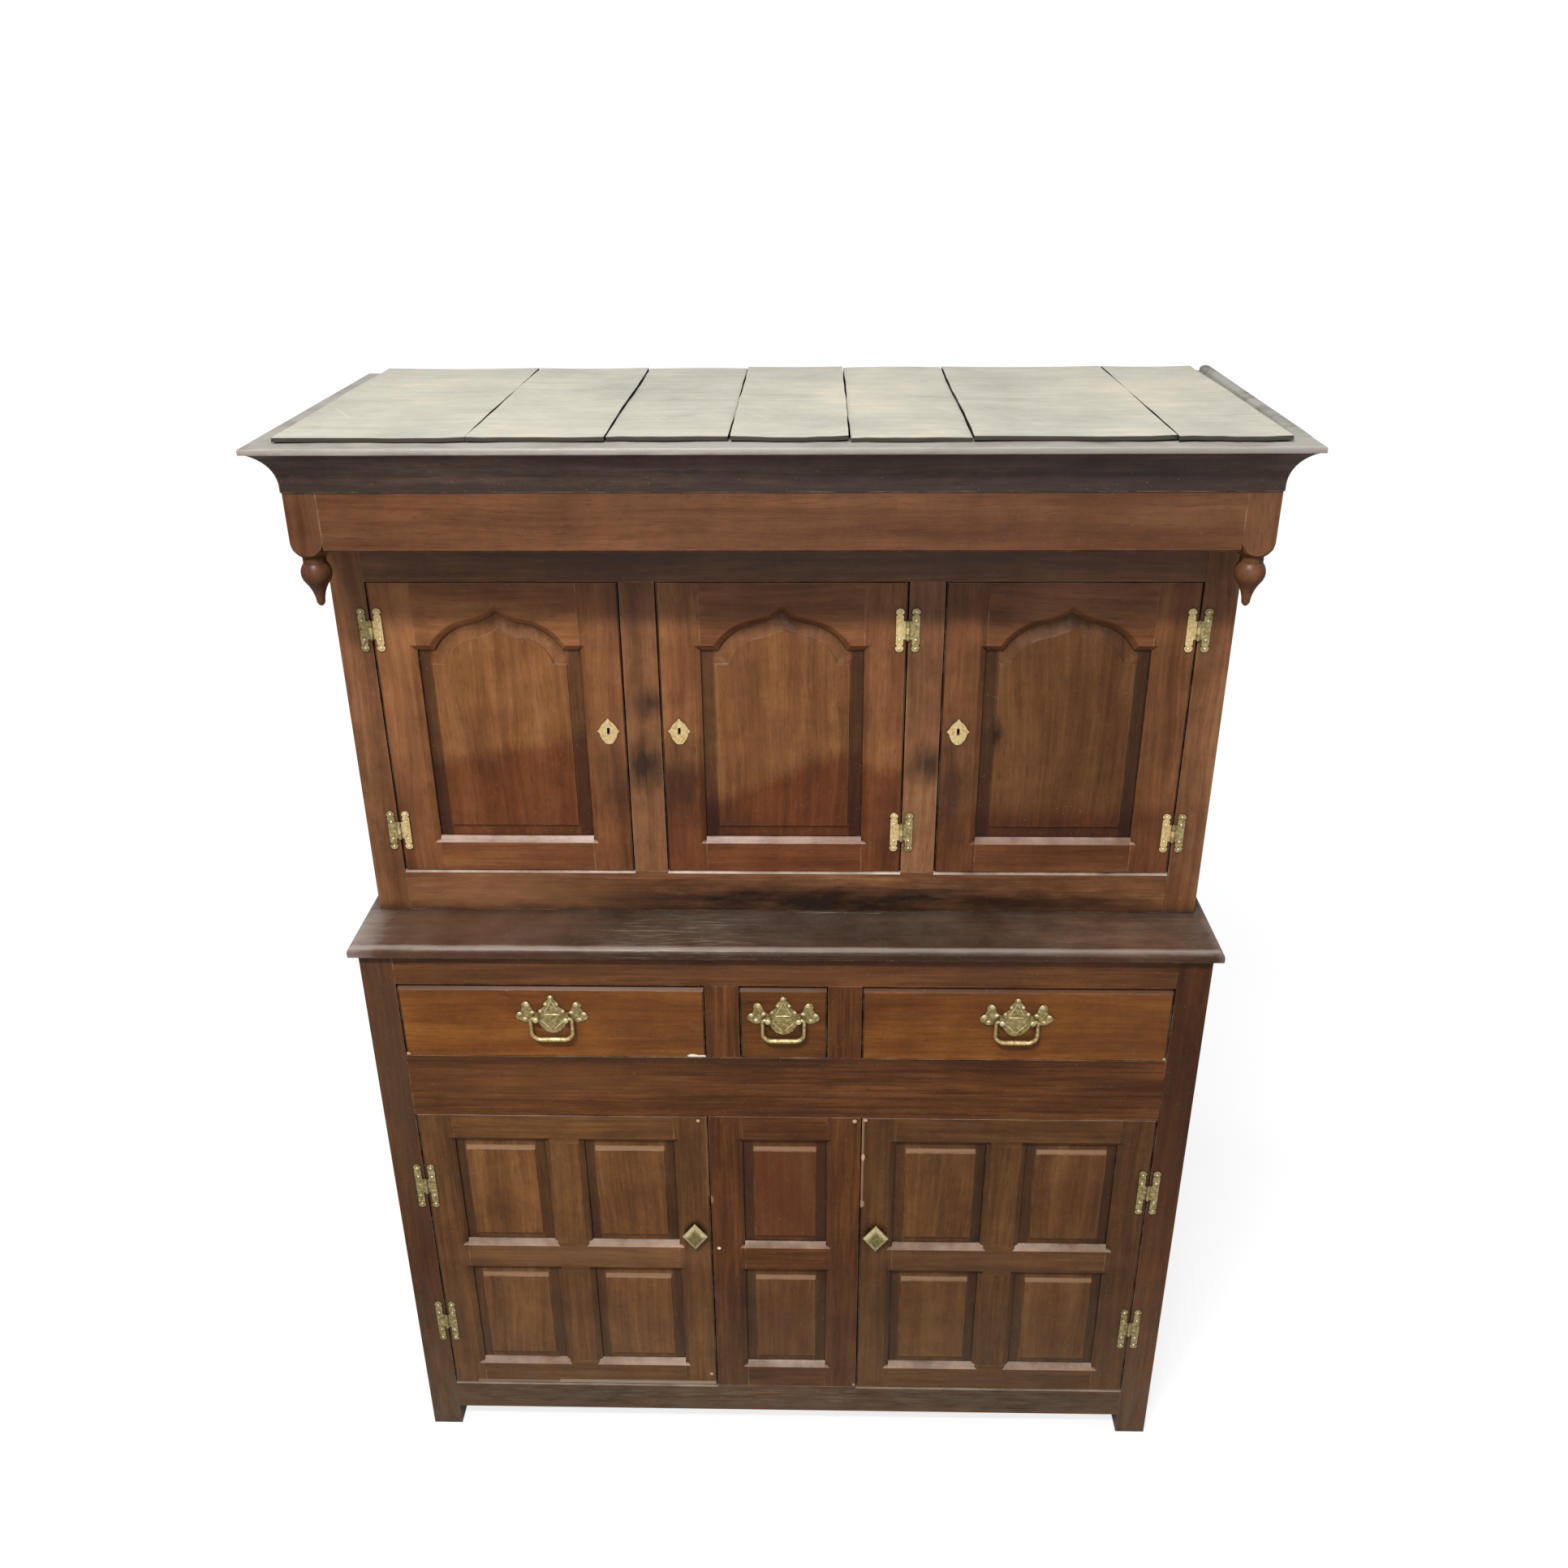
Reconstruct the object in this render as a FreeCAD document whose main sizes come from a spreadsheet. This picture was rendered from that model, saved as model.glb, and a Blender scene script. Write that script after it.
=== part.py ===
import FreeCAD, Part
import math
import os
from types import SimpleNamespace

import Sketcher

# Court cupboard: a base with three drawers and two doors, and an upper stage with three doors
# under an overhanging frieze with turned pendants. Lengths are in millimetres.
# X runs along the front, Y from front to back, Z up. The origin is under the middle, on the floor.

SIZES = {
    # Base carcase
    "base_width": 1270,
    "base_depth": 500,
    "base_stile_width": 50,
    "base_stile_depth": 45,
    "foot_height": 43,
    "base_bottom_rail": 60,
    "base_door_opening": 594,
    "drawer_rail": 114,
    "drawer_opening": 132,
    "base_top_rail": 53,
    "base_top_thickness": 18,
    "base_top_overhang": 12,
    "base_top_nosing": 11,
    "base_top_board": 262,
    "centre_width": 242,
    "small_drawer_opening": 134,
    "drawer_muntin_width": 52,
    # Upper carcase
    "upper_width": 1255,
    "upper_setback": 101,
    "upper_stile_width": 48,
    "upper_stile_depth": 40,
    "upper_bottom_rail": 69,
    "upper_door_opening": 457,
    "upper_top_rail": 76,
    "upper_muntin_width": 50,
    # Frieze, cornice and roof
    "frieze_jetty": 119,
    "frieze_height": 78,
    "frieze_thickness": 22,
    "frieze_bevel": 3,
    "bevel_foot": 0.3,
    "sill_bevel": 4,
    "corner_block": 42,
    "soffit_thickness": 12,
    "cornice_height": 62,
    "cornice_projection": 34,
    "cornice_fascia_height": 8,
    "cornice_fascia_out": 1.5,
    "cornice_lip": 8,
    "cornice_lip_out": 4,
    "cornice_nose": 3,
    "roof_thickness": 8,
    "roof_front_setback": 24,
    "roof_side_setback": 33,
    "roof_board_1": 241,
    "roof_board_2": 173,
    "roof_board_3": 154,
    "roof_board_4": 149,
    "roof_board_5": 152,
    "roof_board_6": 248,
    # Turned pendant, measured down from its neck
    "pendant_shoulder": 29,
    "pendant_neck_radius": 15,
    "pendant_neck_drop": 10,
    "pendant_ball_radius": 20,
    "pendant_ball_drop": 22,
    "pendant_taper_radius": 16.5,
    "pendant_taper_hollow": 50,
    "pendant_tip_radius": 5.5,
    "pendant_tip_drop": 62,
    "pendant_length": 68,
    # Joinery shared by every frame
    "rail_thickness": 28,
    "side_member": 45,
    "tenon_length": 22,
    "tenon_inset": 11,
    "rail_tenon_depth": 9,
    "rail_tenon_thickness": 10,
    "moulding_width": 9,
    "moulding_depth": 7,
    "panel_depth": 10,
    "tongue_thickness": 6,
    "tongue_length": 7,
    "groove_depth": 8,
    "panel_margin": 6,
    "bevel_width": 11,
    "field_recess": 3,
    "field_step": 2,
    "back_thickness": 12,
    "floor_thickness": 18,
    "bearer_height": 20,
    "floor_rest": 10,
    "board_gap": 1,
    # Doors
    "door_gap": 1.5,
    "door_thickness": 22,
    "lower_door_member": 45,
    "upper_door_stile": 50,
    "upper_door_bottom_rail": 46,
    "upper_door_shoulder": 362,
    "upper_bevel_width": 14,
    "ogee_convex_x": 26,
    "ogee_convex_drop": 42,
    "ogee_convex_radius": 82,
    "ogee_concave_x": 54,
    "ogee_concave_radius": 79,
    # Hinges
    "hinge_leaf_gap": 6,
    "hinge_leaf_width": 10.5,
    "hinge_plate": 1.8,
    "hinge_head": 9,
    "hinge_notch": 2,
    "lower_hinge_height": 88,
    "upper_hinge_height": 64,
    "lower_hinge_bottom": 148,
    "lower_hinge_spacing": 300,
    "upper_hinge_bottom": 69,
    "upper_hinge_spacing": 318,
    "knuckle_height": 27,
    "knuckle_radius": 2.5,
    "knuckle_gap": 0.3,
    "pin_offset": 2.8,
    "pin_radius": 1.3,
    "pin_fit": 0.05,
    "pin_head": 1.5,
    # Locks and escutcheons
    "lock_width": 40,
    "lock_height": 60,
    "lock_thickness": 11,
    "lock_level": 231,
    "keyhole_inset": 25,
    "keyhole_width": 4,
    "keyhole_height": 13,
    "escutcheon_width": 33,
    "escutcheon_height": 41,
    "escutcheon_thickness": 1.5,
    "bolt_length": 28,
    "bolt_height": 13,
    "bolt_thickness": 4.5,
    "bolt_throw": 10,
    "slide_fit": 0.3,
    # Lozenge knobs with turn buttons
    "knob_half_width": 20.5,
    "knob_half_height": 26.5,
    "knob_edge": 3,
    "knob_crown": 5,
    "knob_top_share": 0.5,
    "knob_neck_radius": 7,
    "knob_neck_length": 6,
    "knob_inset": 26,
    "knob_level": 350,
    "spindle_radius": 4,
    "spindle_fit": 0.3,
    "button_width": 12,
    "button_length": 46,
    "button_thickness": 6,
    "button_clearance": 0.6,
    # Drawers
    "drawer_gap": 1.5,
    "drawer_front_thickness": 20,
    "drawer_top_bevel": 9,
    "drawer_lap": 8,
    "drawer_side_thickness": 10,
    "drawer_side_drop": 16,
    "drawer_bottom_thickness": 8,
    "drawer_bottom_rise": 6,
    "drawer_bottom_tongue": 5,
    "drawer_back_space": 60,
    "runner_fit": 0.3,
    "runner_height": 20,
    "runner_width": 30,
    "guide_height": 24,
    "guide_fit": 1,
    "runner_rail_height": 40,
    # Drawer handles
    "plate_width": 110,
    "plate_height": 66,
    "plate_thickness": 1.6,
    "handle_rise": 11,
    "post_spacing": 46,
    "post_radius": 4,
    "post_length": 13,
    "shank_radius": 2.5,
    "shank_fit": 0.1,
    "nut_side": 12,
    "nut_thickness": 4,
    "bail_wire_radius": 2.5,
    "bail_eye_fit": 0.3,
    "bail_width": 63,
    "bail_drop": 38,
    "bail_shoulder_radius": 4,
    "bail_corner_radius": 14,
    "bail_pin": 7,
}


class Size:
    """A length with its number and the formula of sheet cells that it comes from."""

    def __init__(self, value, text=None):
        self.value = float(value)
        self.text = text or repr(value)

    def __add__(self, other):
        other = as_size(other)
        return Size(self.value + other.value, f"({self.text} + {other.text})")

    def __sub__(self, other):
        other = as_size(other)
        return Size(self.value - other.value, f"({self.text} - {other.text})")

    def __mul__(self, other):
        other = as_size(other)
        return Size(self.value * other.value, f"({self.text} * {other.text})")

    def __truediv__(self, other):
        other = as_size(other)
        return Size(self.value / other.value, f"({self.text} / {other.text})")

    def __radd__(self, other):
        return as_size(other) + self

    def __rsub__(self, other):
        return as_size(other) - self

    def __rmul__(self, other):
        return as_size(other) * self

    def __neg__(self):
        return Size(-self.value, f"(0 - {self.text})")


def as_size(amount):
    return amount if isinstance(amount, Size) else Size(amount)


def root(amount):
    return Size(math.sqrt(amount.value), f"sqrt({amount.text})")


def make_sheet(sizes):
    """Write the driving sizes into the document's sheet and return them by name."""
    sheet = doc.addObject("Spreadsheet::Sheet", "Sizes")
    for row, (name, value) in enumerate(sizes.items(), start=1):
        sheet.set(f"A{row}", name)
        sheet.set(f"B{row}", str(value))
        sheet.setAlias(f"B{row}", name)
    doc.recompute()
    return SimpleNamespace(**{name: Size(sheet.get(name), f"Sizes.{name}") for name in sizes})


doc = FreeCAD.newDocument("CourtCupboard")
s = make_sheet(SIZES)
sub_parts = []


# Spans along one axis

def grow(span, amount):
    return (span[0] - amount, span[1] + amount)


def shrink(span, amount):
    return (span[0] + amount, span[1] - amount)


def middle(half, centre=0):
    return (centre - half, centre + half)


def on_side(side, near, far):
    """The span from near to far on the right (side 1), or its mirror image on the left (side -1)."""
    return (as_size(near), as_size(far)) if side > 0 else (-as_size(far), -as_size(near))


# Building blocks

def bind(item, **amounts):
    for name, amount in amounts.items():
        item.setExpression(name, as_size(amount).text)


def place(item, x=0, y=0, z=0, turn=0, about=(0, 0, 1)):
    """Move an object to a place given by formulas, turned by an angle in degrees."""
    item.Placement = FreeCAD.Placement(FreeCAD.Vector(), FreeCAD.Rotation(FreeCAD.Vector(*about), turn))
    for axis, amount in zip("xyz", (x, y, z)):
        item.setExpression(f".Placement.Base.{axis}", as_size(amount).text)
    return item


def box(name, x, y, z):
    item = doc.addObject("Part::Box", name)
    bind(item, Length=x[1] - as_size(x[0]), Width=y[1] - as_size(y[0]), Height=z[1] - as_size(z[0]))
    return place(item, x[0], y[0], z[0])


def frustum(name, x, y, z, far_x, far_z):
    """A block whose X and Z spans change from the front end of its Y span to the far end."""
    item = doc.addObject("Part::Wedge", name)
    bind(item, Xmin=x[0], Xmax=x[1], Ymin=y[0], Ymax=y[1], Zmin=z[0], Zmax=z[1])
    bind(item, X2min=far_x[0], X2max=far_x[1], Z2min=far_z[0], Z2max=far_z[1])
    return item


def rod_up(name, radius, x, y, z):
    item = doc.addObject("Part::Cylinder", name)
    bind(item, Radius=radius, Height=z[1] - as_size(z[0]))
    return place(item, x, y, z[0])


def rod_back(name, radius, x, y, z):
    """A round rod along Y, over the span y."""
    item = doc.addObject("Part::Cylinder", name)
    bind(item, Radius=radius, Height=y[1] - as_size(y[0]))
    return place(item, x, y[0], z, turn=-90, about=(1, 0, 0))


def rod_across(name, radius, x, y, z):
    """A round rod along X, over the span x."""
    item = doc.addObject("Part::Cylinder", name)
    bind(item, Radius=radius, Height=x[1] - as_size(x[0]))
    return place(item, x[0], y, z, turn=90, about=(0, 1, 0))


def fuse(name, items):
    if len(items) == 1:
        return items[0]
    item = doc.addObject("Part::MultiFuse", name)
    item.Shapes = items
    return item


def cut(name, base, tools):
    item = doc.addObject("Part::Cut", name)
    item.Base = base
    item.Tool = fuse(name + "_tools", tools)
    return item


def common(name, base, tool):
    item = doc.addObject("Part::Common", name)
    item.Base = base
    item.Tool = tool
    return item


def group(name, items, x=0, y=0, z=0, turn=0):
    item = doc.addObject("Part::Compound", name)
    item.Links = items
    return place(item, x, y, z, turn)


def sub_part(label, items, x=0, y=0, z=0):
    """Keep one piece, or a group of like pieces, under the name of its node."""
    item = group(label, items, x, y, z)
    item.Label = label
    sub_parts.append(item)
    return item


# Sketched pieces

def new_body(name):
    return doc.addObject("PartDesign::Body", name)


def new_sketch(body, role, offset=0):
    """A sketch on one of the body's own planes, moved along that plane's normal."""
    sketch = body.newObject("Sketcher::SketchObject", body.Name + "_outline")
    plane = next(item for item in body.Origin.OriginFeatures if item.Role == role)
    sketch.AttachmentSupport = [(plane, "")]
    sketch.MapMode = "FlatFace"
    sketch.setExpression(".AttachmentOffset.Base.z", as_size(offset).text)
    return sketch


def arc_between(start, end, radius):
    """The short arc from start to end; a positive radius has its centre on the left of the way."""
    chord = end - start
    side = FreeCAD.Vector(-chord.y, chord.x, 0).normalize()
    reach = math.sqrt(max(radius * radius - chord.Length ** 2 / 4, 0))
    centre = (start + end) * 0.5 + side * math.copysign(reach, radius)
    first, last = (start, end) if radius > 0 else (end, start)
    angles = [math.atan2(point.y - centre.y, point.x - centre.x) for point in (first, last)]
    circle = Part.Circle(centre, FreeCAD.Vector(0, 0, 1), abs(radius))
    return Part.ArcOfCircle(circle, angles[0], angles[1])


def fix_coordinate(sketch, kind, axis, edge, end, amount, name):
    """Hold one coordinate of a corner: on the axis where it is plain zero, else by a formula."""
    if amount.text in ("0", "0.0"):
        sketch.addConstraint(Sketcher.Constraint("PointOnObject", edge, end, axis))
        return
    number = sketch.addConstraint(Sketcher.Constraint(kind, -1, 1, edge, end, amount.value))
    sketch.renameConstraint(number, name)
    sketch.setExpression(f"Constraints.{name}", amount.text)


def draw(sketch, corners, closed=True):
    """Draw lines and arcs through corners given as (across, up) or (across, up, radius to the next)."""
    corners = [tuple(as_size(amount) for amount in corner) for corner in corners]
    points = [FreeCAD.Vector(corner[0].value, corner[1].value, 0) for corner in corners]
    first = sketch.GeometryCount
    edges = len(corners) if closed else len(corners) - 1
    starts, ends = [], []
    for step in range(edges):
        start, end = points[step], points[(step + 1) % len(points)]
        radius = corners[step][2] if len(corners[step]) == 3 else None
        if radius is None:
            edge = sketch.addGeometry(Part.LineSegment(start, end), False)
            start_end = (1, 2)
        else:
            edge = sketch.addGeometry(arc_between(start, end, radius.value), False)
            start_end = (1, 2) if radius.value > 0 else (2, 1)
        starts.append((edge, start_end[0]))
        ends.append((edge, start_end[1]))
    for step in range(1, edges + closed):
        sketch.addConstraint(Sketcher.Constraint("Coincident", *ends[step - 1], *starts[step % edges]))
    places = starts if closed else starts + [ends[-1]]
    for step, corner in enumerate(corners):
        fix_coordinate(sketch, "DistanceX", -2, *places[step], corner[0], f"across_{first + step}")
        fix_coordinate(sketch, "DistanceY", -1, *places[step], corner[1], f"up_{first + step}")
        if len(corner) == 3:
            radius = corner[2] if corner[2].value > 0 else -corner[2]
            name = f"radius_{first + step}"
            number = sketch.addConstraint(Sketcher.Constraint("Radius", starts[step][0], radius.value))
            sketch.renameConstraint(number, name)
            sketch.setExpression(f"Constraints.{name}", radius.text)
    return sketch


def mirrored(half):
    """Close an outline from its right half, which runs clockwise from the top of the middle line down."""
    left = []
    for step in range(len(half) - 1, 0, -1):
        corner = half[step]
        radius = half[step - 1][2:]
        left.append((-as_size(corner[0]), corner[1]) + radius)
    if as_size(half[-1][0]).value == 0:
        left[0] = (half[-1][0],) + left[0][1:]
        return half[:-1] + left
    return half + left


def pad(body, sketch, length):
    """Thicken a sketch along its normal."""
    feature = body.newObject("PartDesign::Pad", body.Name + "_pad")
    feature.Profile = sketch
    bind(feature, Length=length)
    sketch.Visibility = False
    return feature


def loft(body, near, far):
    """A ruled block between two like outlines."""
    feature = body.newObject("PartDesign::AdditiveLoft", body.Name + "_loft")
    feature.Profile = near
    feature.Sections = [far]
    feature.Ruled = True
    return feature


# Places that the whole piece shares

overall_depth = s.base_depth + s.frieze_jetty - s.upper_setback + s.cornice_projection
back = overall_depth / 2
base_front = back - s.base_depth
upper_front = base_front + s.upper_setback
frieze_front = upper_front - s.frieze_jetty
base_half = s.base_width / 2
upper_half = s.upper_width / 2

base_floor_level = s.foot_height + s.base_bottom_rail
drawer_rail_level = base_floor_level + s.base_door_opening
drawer_level = drawer_rail_level + s.drawer_rail
base_top_rail_level = drawer_level + s.drawer_opening
base_frame_level = base_top_rail_level + s.base_top_rail
upper_level = base_frame_level + s.base_top_thickness
upper_door_level = upper_level + s.upper_bottom_rail
upper_top_rail_level = upper_door_level + s.upper_door_opening
frieze_level = upper_top_rail_level + s.upper_top_rail
cornice_level = frieze_level + s.frieze_height
roof_level = cornice_level + s.cornice_height

tongue = (s.panel_depth, s.panel_depth + s.tongue_thickness)


# Panelled frames, built flat in their own axes: X across, Y in from the face, Z up

def opening_cutter(name, x, z):
    """The moulded edge and the panel groove round one opening."""
    sight_x = shrink(x, s.moulding_width)
    sight_z = shrink(z, s.moulding_width)
    moulding = frustum(name + "_moulding", x, (0, s.moulding_depth), z, sight_x, sight_z)
    groove = box(name + "_groove", grow(sight_x, s.groove_depth), tongue, grow(sight_z, s.groove_depth))
    return fuse(name + "_cutter", [moulding, groove])


def fielded_panel(name, x, z):
    sight_x = shrink(x, s.moulding_width)
    sight_z = shrink(z, s.moulding_width)
    plate = box(name + "_plate", grow(sight_x, s.tongue_length), tongue, grow(sight_z, s.tongue_length))
    foot_x = shrink(sight_x, s.panel_margin)
    foot_z = shrink(sight_z, s.panel_margin)
    field_x = shrink(foot_x, s.bevel_width)
    field_z = shrink(foot_z, s.bevel_width)
    step_depth = s.field_recess + s.field_step
    field = box(name + "_field", field_x, (s.field_recess, step_depth), field_z)
    bevel = frustum(name + "_bevel", field_x, (step_depth, s.panel_depth), field_z, foot_x, foot_z)
    return fuse(name, [plate, bevel, field])


def panel_grid(name, half_width, rails, columns, member, thickness):
    """Rails, muntins and panels between two stiles. Rails are spans of height, lowest first."""
    opening = (2 * half_width - (columns - 1) * member) / columns
    across = [
        (-half_width + column * (opening + member), -half_width + column * (opening + member) + opening)
        for column in range(columns)
    ]
    heights = [(rails[row][1], rails[row + 1][0]) for row in range(len(rails) - 1)]
    rail_half = half_width - s.moulding_width
    cutters, panels, muntins, muntin_tenons, rail_blocks, rail_tenons = [], [], [], [], [], []
    for row, z in enumerate(heights):
        for column, x in enumerate(across):
            cutters.append(opening_cutter(f"{name}_{row}{column}", x, z))
            panels.append(fielded_panel(f"{name}_panel_{row}{column}", x, z))
    openings = fuse(name + "_openings", cutters)
    for row, z in enumerate(heights):
        sight_z = shrink(z, s.moulding_width)
        for column in range(columns - 1):
            x = (across[column][1], across[column + 1][0])
            block = box(f"{name}_muntin", grow(x, s.moulding_width), (0, thickness), sight_z)
            tenon_z = grow(sight_z, s.tenon_length)
            tenon = box(f"{name}_muntin_tenon", shrink(x, s.tenon_inset), tongue, tenon_z)
            whole = fuse(f"{name}_muntin_whole", [block, tenon])
            muntin_tenons.append(tenon)
            muntins.append(cut(f"{name}_muntin_cut", whole, [openings]))
    for row, (low, high) in enumerate(rails):
        sight_low = low - s.moulding_width if row > 0 else low
        sight_high = high + s.moulding_width if row < len(rails) - 1 else high
        block = box(f"{name}_rail", middle(rail_half), (0, thickness), (sight_low, sight_high))
        tenon_z = shrink((low, high), s.tenon_inset)
        tenon = box(f"{name}_rail_tenon", middle(rail_half + s.tenon_length), tongue, tenon_z)
        rail_tenons.append(tenon)
        rail_blocks.append(fuse(f"{name}_rail_whole", [block, tenon]))
    rail_items = [cut(f"{name}_rail_cut", block, cutters + muntin_tenons) for block in rail_blocks]
    return SimpleNamespace(
        rails=rail_items, muntins=muntins, panels=panels, stile_tools=cutters + rail_tenons)


def panelled_frame(name, width, height, member, columns, rows, thickness, stile_cuts=None):
    """A frame with its own stiles. Stile cuts are extra tools for the stile on side -1 or 1."""
    half_width = width / 2 - member
    pitch = (height - member) / rows
    rails = [(pitch * row, pitch * row + member) for row in range(rows + 1)]
    grid = panel_grid(name, half_width, rails, columns, member, thickness)
    stiles = []
    for side in (-1, 1):
        x = on_side(side, half_width - s.moulding_width, half_width + member)
        stile = box(f"{name}_stile", x, (0, thickness), (0, height))
        extra = (stile_cuts or {}).get(side, [])
        stiles.append(cut(f"{name}_stile_cut", stile, grid.stile_tools + extra))
    return stiles + grid.rails + grid.muntins, grid.panels


# Carcases

def rail_with_tenons(name, x, y, z):
    """A carcase rail along X and the tenon that runs through it into the stiles."""
    tenon_y = (y[0] + s.rail_tenon_depth, y[0] + s.rail_tenon_depth + s.rail_tenon_thickness)
    tenon = box(name + "_tenon", grow(x, s.tenon_length), tenon_y, shrink(z, s.tenon_inset))
    block = box(name + "_block", x, y, z)
    return fuse(name, [block, tenon]), tenon


def muntin_with_tenons(name, x, y, z):
    """An upright between two rails and the tenon that runs through it into them."""
    tenon_y = (y[0] + s.rail_tenon_depth, y[0] + s.rail_tenon_depth + s.rail_tenon_thickness)
    tenon = box(name + "_tenon", shrink(x, s.tenon_inset), tenon_y, grow(z, s.tenon_length))
    block = box(name + "_block", x, y, z)
    return fuse(name, [block, tenon]), tenon


def carcase_sides(name, half_width, front, depth, stile_depth, rails, level, columns):
    """Both panelled sides of a carcase, with the tools that cut the corner stiles."""
    side_middle = front + depth / 2
    sides = SimpleNamespace(rails=[], panels=[], tools={})
    for side in (-1, 1):
        grid = panel_grid(f"{name}_side", depth / 2 - stile_depth, rails, columns,
                          s.side_member, s.rail_thickness)
        where = dict(x=side * half_width, y=side_middle, z=level, turn=90 * side)
        sides.rails.append(group(f"{name}_side_rail_set", grid.rails + grid.muntins, **where))
        sides.panels.append(group(f"{name}_side_panel_set", grid.panels, **where))
        tool = fuse(f"{name}_side_tools", grid.stile_tools)
        sides.tools[side] = place(tool, **where)
    return sides


def corner_stiles(name, half_width, front, depth, width, stile_depth, z, sides, tenons):
    """Four corner stiles, moulded and grooved for the side panels and mortised for every rail."""
    stiles = []
    for side in (-1, 1):
        x = on_side(side, half_width - width, half_width)
        for near, far in ((front, front + stile_depth + s.moulding_width),
                          (front + depth - stile_depth - s.moulding_width, front + depth)):
            block = box(f"{name}_stile", x, (near, far), z)
            stiles.append(cut(f"{name}_stile_cut", block, [sides.tools[side]] + tenons))
    return stiles


def boards_across(name, x, y, z, count):
    """Boards side by side along X, with an open joint between them."""
    width = (x[1] - as_size(x[0]) - (count - 1) * s.board_gap) / count
    items = []
    for number in range(count):
        start = x[0] + number * (width + s.board_gap)
        items.append(box(f"{name}_board", (start, start + width), y, z))
    return items


def floor_on_bearers(name, half_width, stile_width, stile_depth, front, depth, top, boards):
    """Floor boards that run along X and rest on a bearer at each side."""
    board_half = half_width - stile_width
    underside = top - s.floor_thickness
    rail_inside = half_width - s.rail_thickness
    span_y = (front + s.rail_thickness, front + depth - s.rail_thickness)
    width = (span_y[1] - span_y[0] - (boards - 1) * s.board_gap) / boards
    items = []
    for number in range(boards):
        start = span_y[0] + number * (width + s.board_gap)
        items.append(box(f"{name}_floor_board", middle(board_half), (start, start + width),
                         (underside, top)))
    bearer_y = (front + stile_depth + s.moulding_width, front + depth - stile_depth - s.moulding_width)
    for side in (-1, 1):
        x = on_side(side, board_half - s.floor_rest, rail_inside)
        items.append(box(f"{name}_bearer", x, bearer_y, (underside - s.bearer_height, underside)))
    return items


def sill_bevel(name, x, level, front):
    """The edge that is planed off the top of a rail under a door."""
    planed = s.sill_bevel
    return frustum(name, x, (front, front + planed), (level - planed, level), x,
                   (level - s.bevel_foot, level))


def build_base():
    depth = s.base_depth - s.back_thickness
    inside = base_half - s.base_stile_width
    face = (base_front, base_front + s.rail_thickness)
    rear = (base_front + depth - s.rail_thickness, base_front + depth)

    # Front and rear rails between the corner stiles
    bottom_z = (s.foot_height, base_floor_level)
    top_z = (base_top_rail_level, base_frame_level)
    runner_z = (drawer_level - s.runner_rail_height, drawer_level)
    bottom_rail, bottom_tenon = rail_with_tenons("base_bottom_rail", middle(inside), face, bottom_z)
    drawer_rail, drawer_tenon = rail_with_tenons(
        "base_drawer_rail", middle(inside), face, (drawer_rail_level, drawer_level))
    top_rail, top_tenon = rail_with_tenons("base_top_rail", middle(inside), face, top_z)
    rear_rails = [rail_with_tenons("base_rear_rail", middle(inside), rear, z)
                  for z in (bottom_z, runner_z, top_z)]

    # Muntins between the drawers
    muntins, muntin_tenons = [], []
    for side in (-1, 1):
        near = s.small_drawer_opening / 2
        x = on_side(side, near, near + s.drawer_muntin_width)
        muntin, tenon = muntin_with_tenons("drawer_muntin", x, face, (drawer_level, base_top_rail_level))
        muntins.append(muntin)
        muntin_tenons.append(tenon)
    sills = [sill_bevel("base_sill", on_side(side, s.centre_width / 2, inside), base_floor_level, base_front)
             for side in (-1, 1)]
    front_rails = [cut("base_bottom_rail_cut", bottom_rail, sills),
                   cut("drawer_rail_cut", drawer_rail, muntin_tenons),
                   cut("top_rail_cut", top_rail, muntin_tenons)]

    # Panelled sides and corner stiles
    side_middle_rail = (base_floor_level + base_top_rail_level - s.side_member) / 2
    side_rails = [bottom_z, (side_middle_rail, side_middle_rail + s.side_member), top_z]
    sides = carcase_sides("base", base_half, base_front, depth, s.base_stile_depth, side_rails, 0, columns=2)
    tenons = [bottom_tenon, drawer_tenon, top_tenon] + [tenon for _, tenon in rear_rails]
    stiles = corner_stiles("base", base_half, base_front, depth, s.base_stile_width, s.base_stile_depth,
                           (0, base_frame_level), sides, tenons)
    sub_part("base_stiles", stiles)
    sub_part("base_front_rails", front_rails)
    sub_part("drawer_muntins", muntins)
    sub_part("base_side_and_rear_rails", sides.rails + [rail for rail, _ in rear_rails])
    sub_part("base_side_panels", sides.panels)

    # Fixed centre between the two doors
    members, panels = panelled_frame("centre", s.centre_width, s.base_door_opening, s.lower_door_member,
                                     columns=1, rows=2, thickness=s.rail_thickness)
    sub_part("centre_frame", members, y=base_front, z=base_floor_level)
    sub_part("centre_panels", panels, y=base_front, z=base_floor_level)

    # Back, floor and top
    back_y = (back - s.back_thickness, back)
    sub_part("base_backboards",
             boards_across("base_back", middle(base_half), back_y, (s.foot_height, base_frame_level), 6))
    sub_part("base_floor", floor_on_bearers("base", base_half, s.base_stile_width, s.base_stile_depth,
                                            base_front, depth, base_floor_level, boards=3))
    build_runners(inside, depth, face, rear)
    build_base_top()


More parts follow.
